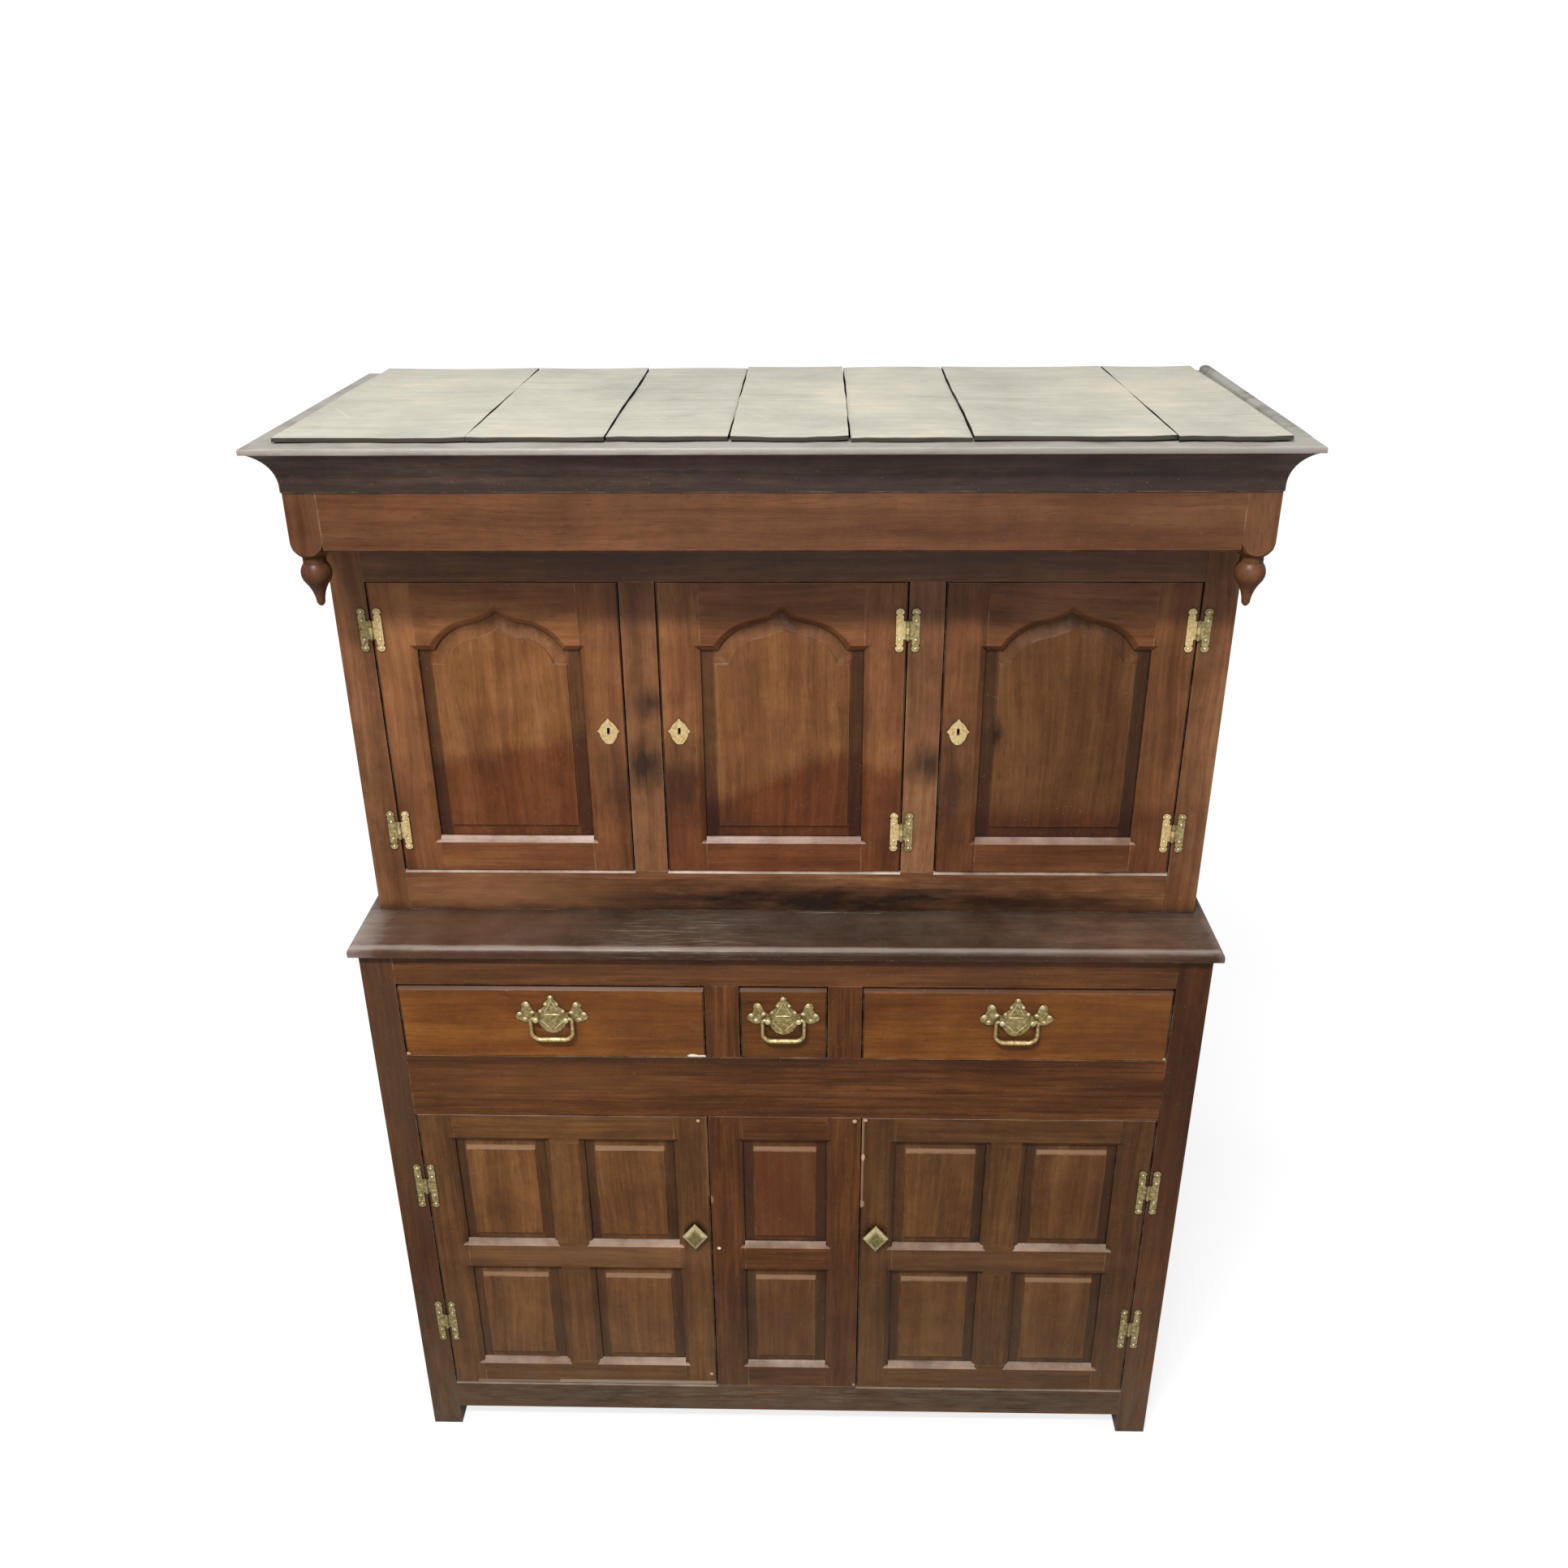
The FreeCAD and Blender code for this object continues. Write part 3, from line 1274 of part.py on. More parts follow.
def bail():
    """A swan-neck bail that hangs from its two pins; its turning axis is the X axis."""
    half = s.bail_width / 2
    drop = s.bail_drop
    eye = s.post_spacing / 2
    round_top = s.bail_shoulder_radius
    round_low = s.bail_corner_radius
    start = eye - s.bail_pin / 2
    body = new_body("bail")
    path = new_sketch(body, "XZ_Plane")
    right = [
        (start, as_size(0)),
        (half - round_top, as_size(0), -round_top),
        (half, -round_top),
        (half, round_low - drop, -round_low),
        (half - round_low, -drop),
    ]
    left = []
    for step in range(len(right) - 1, -1, -1):
        radius = right[step - 1][2:] if step > 0 else ()
        left.append((-right[step][0], right[step][1]) + radius)
    draw(path, right + left, closed=False)
    section = new_sketch(body, "YZ_Plane", start)
    circle = Part.Circle(FreeCAD.Vector(), FreeCAD.Vector(0, 0, 1), s.bail_wire_radius.value)
    section.addGeometry(circle, False)
    section.addConstraint(Sketcher.Constraint("Coincident", 0, 3, -1, 1))
    number = section.addConstraint(Sketcher.Constraint("Radius", 0, s.bail_wire_radius.value))
    section.renameConstraint(number, "wire")
    section.setExpression("Constraints.wire", s.bail_wire_radius.text)
    doc.recompute()
    wire = body.newObject("PartDesign::AdditivePipe", "bail_wire")
    wire.Profile = section
    wire.Spine = (path, [f"Edge{number}" for number in range(1, path.GeometryCount + 1)])
    return body


def build_drawer(name, centre_x, opening):
    """A drawer box lapped into its front, with a plate, two posts and a bail."""
    front_z = (drawer_level + s.drawer_gap, base_top_rail_level - s.drawer_gap)
    front_x = middle(opening / 2 - s.drawer_gap)
    side_z = (drawer_level + s.runner_fit, front_z[1] - s.drawer_side_drop)
    box_half = opening / 2 - s.guide_fit - s.drawer_gap
    lap = s.drawer_front_thickness - s.drawer_lap
    depth = s.base_depth - s.drawer_back_space
    bottom_level = side_z[0] + s.drawer_bottom_rise
    bottom_z = (bottom_level, bottom_level + s.drawer_bottom_thickness)
    inner_half = box_half - s.drawer_side_thickness
    bottom = box("drawer_bottom", middle(inner_half + s.drawer_bottom_tongue), (lap, depth), bottom_z)
    side_blocks = [box("drawer_side", on_side(side, inner_half, box_half), (lap, depth), side_z)
                   for side in (-1, 1)]
    sides = [cut("drawer_side_cut", block, [bottom]) for block in side_blocks]
    rear = box("drawer_back", middle(inner_half), (depth - s.drawer_side_thickness, depth),
               (bottom_z[1], side_z[1]))

    # Handle holes, posts and nuts
    post_x = s.post_spacing / 2
    handle_z = (front_z[0] + front_z[1]) / 2 + s.handle_rise
    pivot_y = s.bail_wire_radius + s.bail_eye_fit - s.post_length
    holes, posts, eyes = [], [], []
    for side in (-1, 1):
        x = side * post_x
        shank_y = (0, s.drawer_front_thickness + s.nut_thickness)
        hole_y = (-s.plate_thickness, shank_y[1])
        holes.append(rod_back("shank_hole", s.shank_radius + s.shank_fit, x, hole_y, handle_z))
        shank = rod_back("post_shank", s.shank_radius, x, grow((0, shank_y[1]), s.plate_thickness), handle_z)
        head_y = (-s.plate_thickness - s.post_length, -s.plate_thickness)
        head = rod_back("post_head", s.post_radius, x, head_y, handle_z)
        eye_x = grow(middle(s.post_radius, x), s.post_radius)
        eyes.append(rod_across("post_eye", s.bail_wire_radius + s.bail_eye_fit, eye_x,
                               pivot_y, handle_z))
        posts.append(cut("handle_post", fuse("post_whole", [shank, head]), [eyes[-1]]))
        nut_y = (s.drawer_front_thickness, s.drawer_front_thickness + s.nut_thickness)
        nut = box("post_nut", middle(s.nut_side / 2, x), nut_y, middle(s.nut_side / 2, handle_z))
        posts.append(cut("post_nut_cut", nut, [holes[-1]]))
    front_block = box("drawer_front", front_x, (0, s.drawer_front_thickness), front_z)
    top_bevel = frustum("drawer_bevel", front_x, (0, s.drawer_top_bevel),
                        (front_z[1] - s.drawer_top_bevel, front_z[1]),
                        front_x, (front_z[1] - s.bevel_foot, front_z[1]))
    front = cut("drawer_front_cut", front_block, side_blocks + [bottom, top_bevel] + holes)
    plate_y = (-s.plate_thickness, 0)
    plate_holes = [rod_back("plate_hole", s.shank_radius + s.shank_fit, side * post_x, plate_y, 0)
                   for side in (-1, 1)]
    plate = group("placed_plate", [handle_plate(plate_holes)], z=handle_z)

    where = dict(x=centre_x, y=base_front)
    sub_part(name + "_front", [front], **where)
    sub_part(name + "_box", sides + [rear, bottom], **where)
    sub_part(name + "_plate", [plate] + posts, **where)
    hung_bail = group("placed_bail", [bail()], y=pivot_y, z=handle_z)
    sub_part(name + "_bail", [hung_bail], **where)


def build_drawers():
    small_half = s.small_drawer_opening / 2
    wide_start = small_half + s.drawer_muntin_width
    wide = base_half - s.base_stile_width - wide_start
    build_drawer("left_drawer", -(wide_start + wide / 2), wide)
    build_drawer("middle_drawer", as_size(0), s.small_drawer_opening)
    build_drawer("right_drawer", wide_start + wide / 2, wide)


def check_and_export():
    """Stop on any failed object or bad shape, then write one file for each sub-part."""
    doc.recompute()
    failed = [item.Name for item in doc.Objects if "Invalid" in item.State or "Error" in item.State]
    if failed:
        raise RuntimeError("failed objects: " + ", ".join(failed))
    for item in sub_parts:
        if item.Shape.isNull() or not item.Shape.isValid():
            raise RuntimeError("bad shape: " + item.Label)
    os.makedirs("parts", exist_ok=True)
    for item in sub_parts:
        item.Shape.exportStep(f"parts/{item.Label}.step")
        print(f"{item.Label}: {len(item.Shape.Solids)} solids, {item.Shape.Volume / 1000:.1f} cm3")


build_base()
build_upper()
build_frieze()
build_pendants()
build_cornice()
build_roof()
build_upper_doors()
build_lower_doors()
build_drawers()
check_and_export()
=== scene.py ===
import itertools
import math
import random

import bmesh
import bpy
from mathutils import Matrix, Vector


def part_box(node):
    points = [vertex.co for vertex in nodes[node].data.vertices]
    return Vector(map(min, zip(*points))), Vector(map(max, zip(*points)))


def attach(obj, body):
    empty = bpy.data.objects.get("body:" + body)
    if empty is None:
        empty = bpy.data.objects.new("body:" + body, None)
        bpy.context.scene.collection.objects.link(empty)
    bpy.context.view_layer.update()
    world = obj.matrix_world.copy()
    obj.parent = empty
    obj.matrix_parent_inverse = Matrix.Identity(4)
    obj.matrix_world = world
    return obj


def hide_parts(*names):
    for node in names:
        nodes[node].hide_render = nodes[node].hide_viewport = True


# Looks of the court cupboard: old waxed oak, dusty roof boards and dulled brass.
# Lengths are in metres in the frame of the solids.

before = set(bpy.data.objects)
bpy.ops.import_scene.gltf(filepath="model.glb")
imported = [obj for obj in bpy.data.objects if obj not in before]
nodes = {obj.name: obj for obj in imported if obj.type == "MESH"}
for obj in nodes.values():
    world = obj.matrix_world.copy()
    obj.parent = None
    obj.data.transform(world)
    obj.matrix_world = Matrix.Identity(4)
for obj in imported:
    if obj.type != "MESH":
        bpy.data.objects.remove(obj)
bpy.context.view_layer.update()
scene = bpy.context.scene
draw = random.Random(17)


# Camera, matched to the carcase edges in the photo

CAMERA_PLACE = Vector((0.0491, -1.9651, 2.1189))
CAMERA_PITCH = math.radians(25.73)
CAMERA_YAW = math.radians(-1.493)
CAMERA_ROLL = math.radians(-0.463)
CAMERA_LENS = 31.87
CAMERA_REACH = 100.0


def make_camera():
    ahead = math.cos(CAMERA_PITCH)
    forward = Vector((math.sin(CAMERA_YAW) * ahead, math.cos(CAMERA_YAW) * ahead, -math.sin(CAMERA_PITCH)))
    level = Vector((math.cos(CAMERA_YAW), -math.sin(CAMERA_YAW), 0.0))
    upward = level.cross(forward)
    right = level * math.cos(CAMERA_ROLL) + upward * math.sin(CAMERA_ROLL)
    top = upward * math.cos(CAMERA_ROLL) - level * math.sin(CAMERA_ROLL)
    data = bpy.data.cameras.new("photo_camera")
    data.lens = CAMERA_LENS
    data.clip_end = CAMERA_REACH
    camera = bpy.data.objects.new("photo_camera", data)
    turn = Matrix((right, top, -forward)).transposed()
    camera.matrix_world = Matrix.Translation(CAMERA_PLACE) @ turn.to_4x4()
    scene.collection.objects.link(camera)
    scene.camera = camera


# Node graphs

def linear(red, green, blue):
    """A colour from screen values of 0 to 255, as the renderer wants it."""
    def channel(value):
        value = value / 255.0
        return value / 12.92 if value <= 0.04045 else ((value + 0.055) / 1.055) ** 2.4
    return (channel(red), channel(green), channel(blue), 1.0)


class Graph:
    """Short hand for wiring one node tree."""

    def __init__(self, tree):
        self.tree = tree

    def add(self, kind, *values, **settings):
        """A new node, with values or links for its first sockets."""
        node = self.tree.nodes.new(kind)
        for name, value in settings.items():
            setattr(node, name, value)
        for socket, value in zip(node.inputs, values):
            self.feed(socket, value)
        return node

    def feed(self, socket, value):
        if isinstance(value, bpy.types.NodeSocket):
            self.tree.links.new(value, socket)
        else:
            socket.default_value = value

    def wire(self, node, sockets):
        """Values or links for sockets by name."""
        for name, value in sockets.items():
            self.feed(node.inputs[name], value)

    def math(self, operation, first, second=0.0):
        return self.add("ShaderNodeMath", first, second, operation=operation).outputs[0]

    def plus(self, first, second):
        return self.math("ADD", first, second)

    def minus(self, first, second):
        return self.math("SUBTRACT", first, second)

    def times(self, first, second):
        return self.math("MULTIPLY", first, second)

    def spread(self, value, low, high, to_low=0.0, to_high=1.0):
        """Map a value from one range to another and hold it there."""
        node = self.add("ShaderNodeMapRange", value, low, high, to_low, to_high, clamp=True)
        return node.outputs["Result"]

    def mix(self, factor, first, second, blend="MIX"):
        node = self.add("ShaderNodeMix", factor, data_type="RGBA", blend_type=blend)
        self.feed(node.inputs[6], first)
        self.feed(node.inputs[7], second)
        return node.outputs[2]

    def tint(self, colour, mask, strength, other):
        """Another colour laid over the first one, as strong as a mask says."""
        return self.mix(self.times(mask, strength), colour, other)

    def blend(self, factor, first, second):
        """Mix of two plain values."""
        node = self.add("ShaderNodeMix", factor, data_type="FLOAT")
        self.feed(node.inputs[2], first)
        self.feed(node.inputs[3], second)
        return node.outputs[0]

    def ramp(self, factor, stops):
        node = self.add("ShaderNodeValToRGB", factor)
        band = node.color_ramp
        while len(band.elements) < len(stops):
            band.elements.new(0.5)
        for element, (place, colour) in zip(band.elements, stops):
            element.position = place
            element.color = colour
        return node.outputs[0]

    def vector(self, x, y, z):
        return self.add("ShaderNodeCombineXYZ", x, y, z).outputs[0]

    def split(self, vector):
        return tuple(self.add("ShaderNodeSeparateXYZ", vector).outputs)

    def stretch(self, along, across, through, slow, fast):
        """A noise place that changes slowly along the grain and fast across it."""
        return self.vector(self.times(along, slow), self.times(across, fast), self.times(through, fast))

    def noise(self, vector, scale=1.0, detail=2.0, roughness=0.5):
        node = self.add("ShaderNodeTexNoise", vector)
        self.wire(node, {"Scale": scale, "Detail": detail, "Roughness": roughness})
        return node.outputs["Fac"]

    def relief(self, shader, height, strength, distance):
        """Bend the shader's normal by a height."""
        node = self.add("ShaderNodeBump")
        self.wire(node, {"Strength": strength, "Distance": distance, "Height": height})
        self.feed(shader.inputs["Normal"], node.outputs["Normal"])

    def place(self):
        """The surface point in the object's axes, those of the whole piece at rest."""
        return self.add("ShaderNodeTexCoord").outputs["Object"]

    def group(self, tree, **inputs):
        node = self.add("ShaderNodeGroup", node_tree=tree)
        self.wire(node, inputs)
        return node.outputs


def new_material(name):
    """A new material with its graph and its shader."""
    material = bpy.data.materials.new(name)
    material.use_nodes = True
    g = Graph(material.node_tree)
    return material, g, g.tree.nodes["Principled BSDF"]


def new_group(name, inputs, outputs):
    """An empty node group of named values, Place being a vector, and its graph, sources and sinks."""
    tree = bpy.data.node_groups.new(name, "ShaderNodeTree")
    for way, sockets in (("INPUT", inputs), ("OUTPUT", outputs)):
        for socket in sockets:
            kind = "NodeSocketVector" if socket == "Place" else "NodeSocketFloat"
            tree.interface.new_socket(socket, in_out=way, socket_type=kind)
    graph = Graph(tree)
    return tree, graph, graph.add("NodeGroupInput").outputs, graph.add("NodeGroupOutput").inputs


# Noises of the grain: their pace along and across a board, their detail and their roughness
GRAIN_NOISES = {
    "Figure": (3.2, 26.0, 3.0, 0.6),
    "Ring": (3.5, 150.0, 2.0, 0.5),
    "Fibre": (14.0, 560.0, 2.0, 0.5),
    "Pore": (44.0, 480.0, 1.0, 0.5),
    "Ray": (62.0, 125.0, 2.0, 0.5),
}
# The thin marks among them: where in their noise they begin and are full
GRAIN_MARKS = {"Pore": (0.58, 0.72), "Ray": (0.62, 0.76)}


def make_grain_group():
    """Oak grain from the way along and across a board: figure, rings, fibre, pores and pale rays."""
    tree, g, source, sink = new_group("oak_grain", ("Along", "Across", "Through", "Seed"), GRAIN_NOISES)
    along = g.plus(source["Along"], g.times(source["Seed"], 1.37))
    through = g.plus(source["Through"], source["Seed"])
    sway = g.noise(g.stretch(along, source["Across"], through, 2.4, 7.0), detail=1.0)
    across = g.plus(source["Across"], g.times(g.minus(sway, 0.5), 0.05))
    for name, (slow, fast, detail, roughness) in GRAIN_NOISES.items():
        amount = g.noise(g.stretch(along, across, through, slow, fast), detail=detail, roughness=roughness)
        if name in GRAIN_MARKS:
            amount = g.spread(amount, *GRAIN_MARKS[name])
        g.feed(sink[name], amount)
    return tree


RUBBED_RADIUS = 0.0022


def make_wear_group():
    """Where corners and hollows darken, with dirt and painted shade, and where edges are rubbed."""
    masks = ("Crevice", "Edge", "Patina", "Blotch", "Speck")
    tree, g, source, sink = new_group("oak_wear", ("Place", "Reach", "Rub"), masks)
    place = source["Place"]
    shade = g.add("ShaderNodeAmbientOcclusion", samples=6)
    g.feed(shade.inputs["Distance"], source["Reach"])
    broken = g.noise(place, scale=34.0, detail=3.0)
    openness = g.plus(shade.outputs["AO"], g.times(g.minus(broken, 0.5), 0.3))
    g.feed(sink["Crevice"], g.spread(openness, 0.92, 0.42))
    rounded = g.add("ShaderNodeBevel", RUBBED_RADIUS, samples=4).outputs["Normal"]
    flat = g.add("ShaderNodeNewGeometry").outputs["Normal"]
    bend = g.add("ShaderNodeVectorMath", rounded, flat, operation="DOT_PRODUCT")
    turned = g.spread(bend.outputs["Value"], 0.985, 0.85)
    gaps = g.spread(g.noise(place, scale=21.0, detail=4.0, roughness=0.7), 0.45, 0.62)
    g.feed(sink["Edge"], g.times(g.times(turned, gaps), source["Rub"]))
    g.feed(sink["Patina"], g.noise(place, scale=4.5, detail=3.0, roughness=0.6))
    g.feed(sink["Blotch"], g.noise(place, scale=19.0, detail=6.0, roughness=0.72))
    g.feed(sink["Speck"], g.spread(g.noise(place, scale=260.0, detail=1.0), 0.7, 0.76))
    return tree


def make_dust_group():
    """Settled dust on faces that look up, thicker in patches; the same mask lays a painted highlight on
    ledges.
    """
    tree, g, source, sink = new_group("settled_dust_and_sheen", ("Place", "Amount", "Start"), ("Dust_and_sheen",))
    up = g.split(g.add("ShaderNodeNewGeometry").outputs["Normal"])[2]
    level = g.spread(up, source["Start"], g.plus(source["Start"], 0.3))
    patch = g.spread(g.noise(source["Place"], scale=9.0, detail=5.0, roughness=0.65), 0.3, 0.72)
    g.feed(sink["Dust_and_sheen"], g.times(g.times(level, patch), source["Amount"]))
    return tree


SAME_POINT = 0.00001


def make_solids_group():
    """Joins the faces of each solid at their edges, and parts solids of one node where they only touch."""
    tree = bpy.data.node_groups.new("joined_solids", "GeometryNodeTree")
    for way in ("INPUT", "OUTPUT"):
        tree.interface.new_socket("Geometry", in_out=way, socket_type="NodeSocketGeometry")
    g = Graph(tree)
    joined = g.add("GeometryNodeMergeByDistance", g.add("NodeGroupInput").outputs[0])
    g.feed(joined.inputs["Distance"], SAME_POINT)
    faces = g.add("GeometryNodeInputMeshEdgeNeighbors").outputs["Face Count"]
    parted = g.add("GeometryNodeSplitEdges", joined.outputs["Geometry"], g.math("GREATER_THAN", faces, 2.5))
    g.add("NodeGroupOutput", parted.outputs["Mesh"])
    return tree


GRAIN = make_grain_group()
WEAR = make_wear_group()
DUST_AND_SHEEN = make_dust_group()
SOLIDS = make_solids_group()

# Tones of the oak: dark, middle and light
TONES = {
    "upper_door": ((91, 55, 31), (124, 80, 49), (150, 103, 64)),
    "upper_panel": ((93, 56, 29), (126, 83, 47), (151, 104, 65)),
    "upper_frame": ((87, 55, 35), (119, 80, 52), (146, 105, 71)),
    "drawer": ((85, 46, 15), (118, 70, 26), (142, 92, 37)),
    "lower_door": ((69, 43, 20), (96, 63, 33), (119, 82, 44)),
    "lower_panel": ((76, 47, 23), (107, 70, 37), (131, 93, 52)),
    "lower_frame": ((65, 36, 15), (94, 55, 25), (119, 74, 36)),
    "frieze": ((77, 44, 26), (102, 65, 40), (121, 82, 55)),
    "cornice": ((60, 45, 40), (92, 74, 66), (124, 101, 90)),
    "top": ((50, 32, 21), (72, 49, 35), (98, 72, 54)),
    "inner": ((84, 58, 38), (112, 82, 56), (138, 106, 76)),
}
SHADE_AND_GRIME = linear(22, 13, 9)
BARE_OAK = linear(186, 150, 112)
DUST_COLOUR = linear(176, 166, 148)
FLOOR_DIRT = linear(104, 90, 72)
LEDGE_SHEEN = linear(206, 184, 166)
DARK_REFLECTION = linear(84, 38, 14)
# Shades that multiply the oak's tone: from old polish, and from clouds in it
PATINA_SHADE = [(0.3, (0.7, 0.64, 0.6, 1.0)), (0.68, (1.08, 1.06, 1.04, 1.0))]
CLOUD_SHADE = [(0.32, (0.78, 0.75, 0.72, 1.0)), (0.66, (1.16, 1.16, 1.16, 1.0))]
OAK_CREVICE_REACH = 0.022
FLOOR_DIRT_HEIGHT = 0.4


def within(g, value, centre, half):
    """One inside a span of a coordinate, zero outside."""
    return g.add("ShaderNodeMath", value, centre, half, operation="COMPARE").outputs[0]


def spot(g, x, z, centre, size, ragged, torn=2.0, outer=2.2, inner=0.8):
    """A patch of the face about a point (x, z), torn by a noise value and fading from inner to outer."""
    far_x = g.math("DIVIDE", g.minus(x, centre[0]), size[0])
    far_z = g.math("DIVIDE", g.minus(z, centre[1]), size[1])
    reach = g.math("SQRT", g.plus(g.times(far_x, far_x), g.times(far_z, far_z)))
    return g.spread(g.plus(reach, g.times(ragged, torn)), outer, inner)


def deepen(colour, depth):
    return tuple(channel * depth for channel in colour[:3]) + (1.0,)


def below_line(g, x, z, point, slope, ragged):
    """One on the part of the face below a slanted line, with a torn edge."""
    line = g.plus(g.times(g.minus(x, point[0]), slope), point[1])
    drop = g.plus(g.minus(line, z), g.times(ragged, 0.03))
    return g.spread(drop, -0.004, 0.022)


def inward(g, value, middle, half):
    """How far a coordinate lies inside a span."""
    return g.minus(half, g.math("ABSOLUTE", g.minus(value, middle)))


def rim(g, x, z, box, width, ragged):
    """One along the two sides of a face box, zero further in than a width."""
    middle, half, middle_up, half_up = box
    torn = g.plus(inward(g, x, middle, half), g.times(ragged, 0.1 * width))
    inside = g.times(within(g, x, middle, half + 0.0005), within(g, z, middle_up, half_up))
    return g.times(g.spread(torn, 1.08 * width, 0.85 * width), inside)


def band(g, x, z, box, ragged):
    """One inside a face box, with a slightly torn edge."""
    middle, half, middle_up, half_up = box
    deep = g.math("MINIMUM", inward(g, x, middle, half), inward(g, z, middle_up, half_up))
    return g.spread(g.plus(deep, g.times(ragged, -0.0015)), -0.0012, 0.0008)


def grain_ways(g, place, axis, cross, uprights, returns):
    """The ways along, across and through the boards. Uprights are boxes of the face where the grain runs up;
    returns, (slope, limit), say where boards turn back and the grain runs along Y."""
    def turn(mask, ways, others):
        return tuple(g.blend(mask, way, other) for way, other in zip(ways, others))

    x, y, z = g.split(place)
    ways = {"X": (x, z, y), "Y": (y, x, z), "Z": (z, x, y), "ZY": (z, y, x)}[axis]
    face, behind = {"X": (x, y), "Y": (y, x)}[cross]
    for middle, half, middle_up, half_up in uprights:
        inside = g.times(within(g, face, middle, half), within(g, z, middle_up, half_up))
        ways = turn(inside, ways, (z, face, behind))
    if returns:
        slope, limit = returns
        outward = g.plus(g.math("ABSOLUTE", x), g.times(y, slope))
        ways = turn(g.math("GREATER_THAN", outward, limit), ways, (y, z, x))
    return ways


def oak(name, tone, axis, depth=1.0, uprights=(), cross="X", returns=None, lying=False, streaks=0.0,
        stains=(), painted_reflections=(), chips=(), scuffs=(), rims=(), bands=(), dust=0.0, dust_tint=DUST_COLOUR,
        dust_from=0.55, ledge=0.0, rub=0.7, gloss=0.4, grime=0.85, floor_grime=0.0):
    """Waxed oak. Depth makes the tone lighter or darker. Marks are placed by X and Z, or by X and Y
    on a lying board, and a box of the face is (middle, half, middle, half)."""
    material, g, shader = new_material(name)
    place = g.place()
    x, y, z = g.split(place)
    up = y if lying else z
    along, across, through = grain_ways(g, place, axis, cross, uprights, returns)
    grain = g.group(GRAIN, Along=along, Across=across, Through=through, Seed=draw.uniform(0.0, 9.0))
    wear = g.group(WEAR, Place=place, Reach=OAK_CREVICE_REACH, Rub=rub)
    dark, middle, light = (deepen(linear(*colour), depth) for colour in TONES[tone])
    body = g.blend(0.4, grain["Figure"], g.blend(0.35, grain["Ring"], grain["Fibre"]))
    colour = g.ramp(body, [(0.31, dark), (0.5, middle), (0.69, light)])
    colour = g.tint(colour, grain["Pore"], 0.45, dark)
    colour = g.tint(colour, grain["Ray"], 0.22, light)
    colour = g.mix(0.85, colour, g.ramp(wear["Patina"], PATINA_SHADE), "MULTIPLY")
    colour = g.mix(0.9, colour, g.ramp(wear["Blotch"], CLOUD_SHADE), "MULTIPLY")
    torn = g.noise(g.stretch(along, across, through, 15.0, 62.0), detail=4.0, roughness=0.65)
    ragged = g.minus(torn, 0.2)
    if streaks:
        split = g.noise(g.stretch(along, across, through, 4.5, 130.0), detail=4.0, roughness=0.7)
        colour = g.tint(colour, g.spread(split, 0.46, 0.6), streaks, deepen(dark, 0.45))
    # Painted dark reflection over the face below a slanted line; it multiplies the colour, so the grain
    # stays
    for point, slope, strength in painted_reflections:
        reflection_ratio = tuple(wet / dry for wet, dry in zip(DARK_REFLECTION[:3], middle[:3])) + (1.0,)
        colour = g.tint(colour, below_line(g, x, z, point, slope, ragged), strength,
                        g.mix(1.0, colour, reflection_ratio, "MULTIPLY"))
    for centre, size, strength, tint in stains:
        colour = g.tint(colour, spot(g, x, up, centre, size, ragged), strength, linear(*tint))
    # Painted shade, with dirt, along rims: beside the gaps and on the panels' side bevels under the frames'
    # mouldings
    for box, width, strength in rims:
        colour = g.tint(colour, rim(g, x, z, box, width, ragged), strength, SHADE_AND_GRIME)
    for centre, size, strength in scuffs:
        streak = g.spread(g.noise(g.stretch(x, y, z, 16.0, 330.0), detail=3.0, roughness=0.7), 0.52, 0.66)
        patch = g.times(spot(g, x, up, centre, size, ragged), streak)
        colour = g.tint(colour, patch, strength, DUST_COLOUR)
    # Painted shade, with dirt, in the corners and hollows that ambient occlusion finds
    colour = g.tint(colour, wear["Crevice"], grime, SHADE_AND_GRIME)
    colour = g.tint(colour, wear["Edge"], 0.75, BARE_OAK)
    for box, strength, tint in bands:
        colour = g.tint(colour, band(g, x, z, box, ragged), strength, linear(*tint))
    for centre, size, tint in chips:
        chip = spot(g, x, z, centre, size, ragged, torn=0.8, outer=1.35, inner=1.0)
        colour = g.mix(chip, colour, linear(*tint))
    if floor_grime:
        low = g.times(g.spread(z, FLOOR_DIRT_HEIGHT, 0.0), g.spread(torn, 0.3, 0.7, 0.35, 1.35))
        colour = g.tint(colour, low, floor_grime, FLOOR_DIRT)
    colour = g.tint(colour, wear["Speck"], 0.1, DUST_COLOUR)
    rough = g.spread(body, 0.3, 0.7, gloss - 0.06, gloss + 0.08)
    # Painted highlight on ledges and mouldings that slope upwards
    if ledge:
        pale = g.group(DUST_AND_SHEEN, Place=place, Amount=ledge, Start=0.4)["Dust_and_sheen"]
        colour = g.mix(pale, colour, LEDGE_SHEEN)
    if dust:
        dusty = g.group(DUST_AND_SHEEN, Place=place, Amount=dust, Start=dust_from)["Dust_and_sheen"]
        colour = g.mix(dusty, colour, dust_tint)
        rough = g.blend(dusty, rough, 0.9)
    height = g.plus(g.times(grain["Ring"], 0.5), g.times(wear["Patina"], 2.5))
    g.relief(shader, g.minus(height, g.times(grain["Pore"], 0.3)), strength=0.25, distance=0.0012)
    g.wire(shader, {"Base Color": colour, "Roughness": rough, "Specular IOR Level": 0.22,
                    "Coat Weight": 0.05, "Coat Roughness": 0.24})
    return material


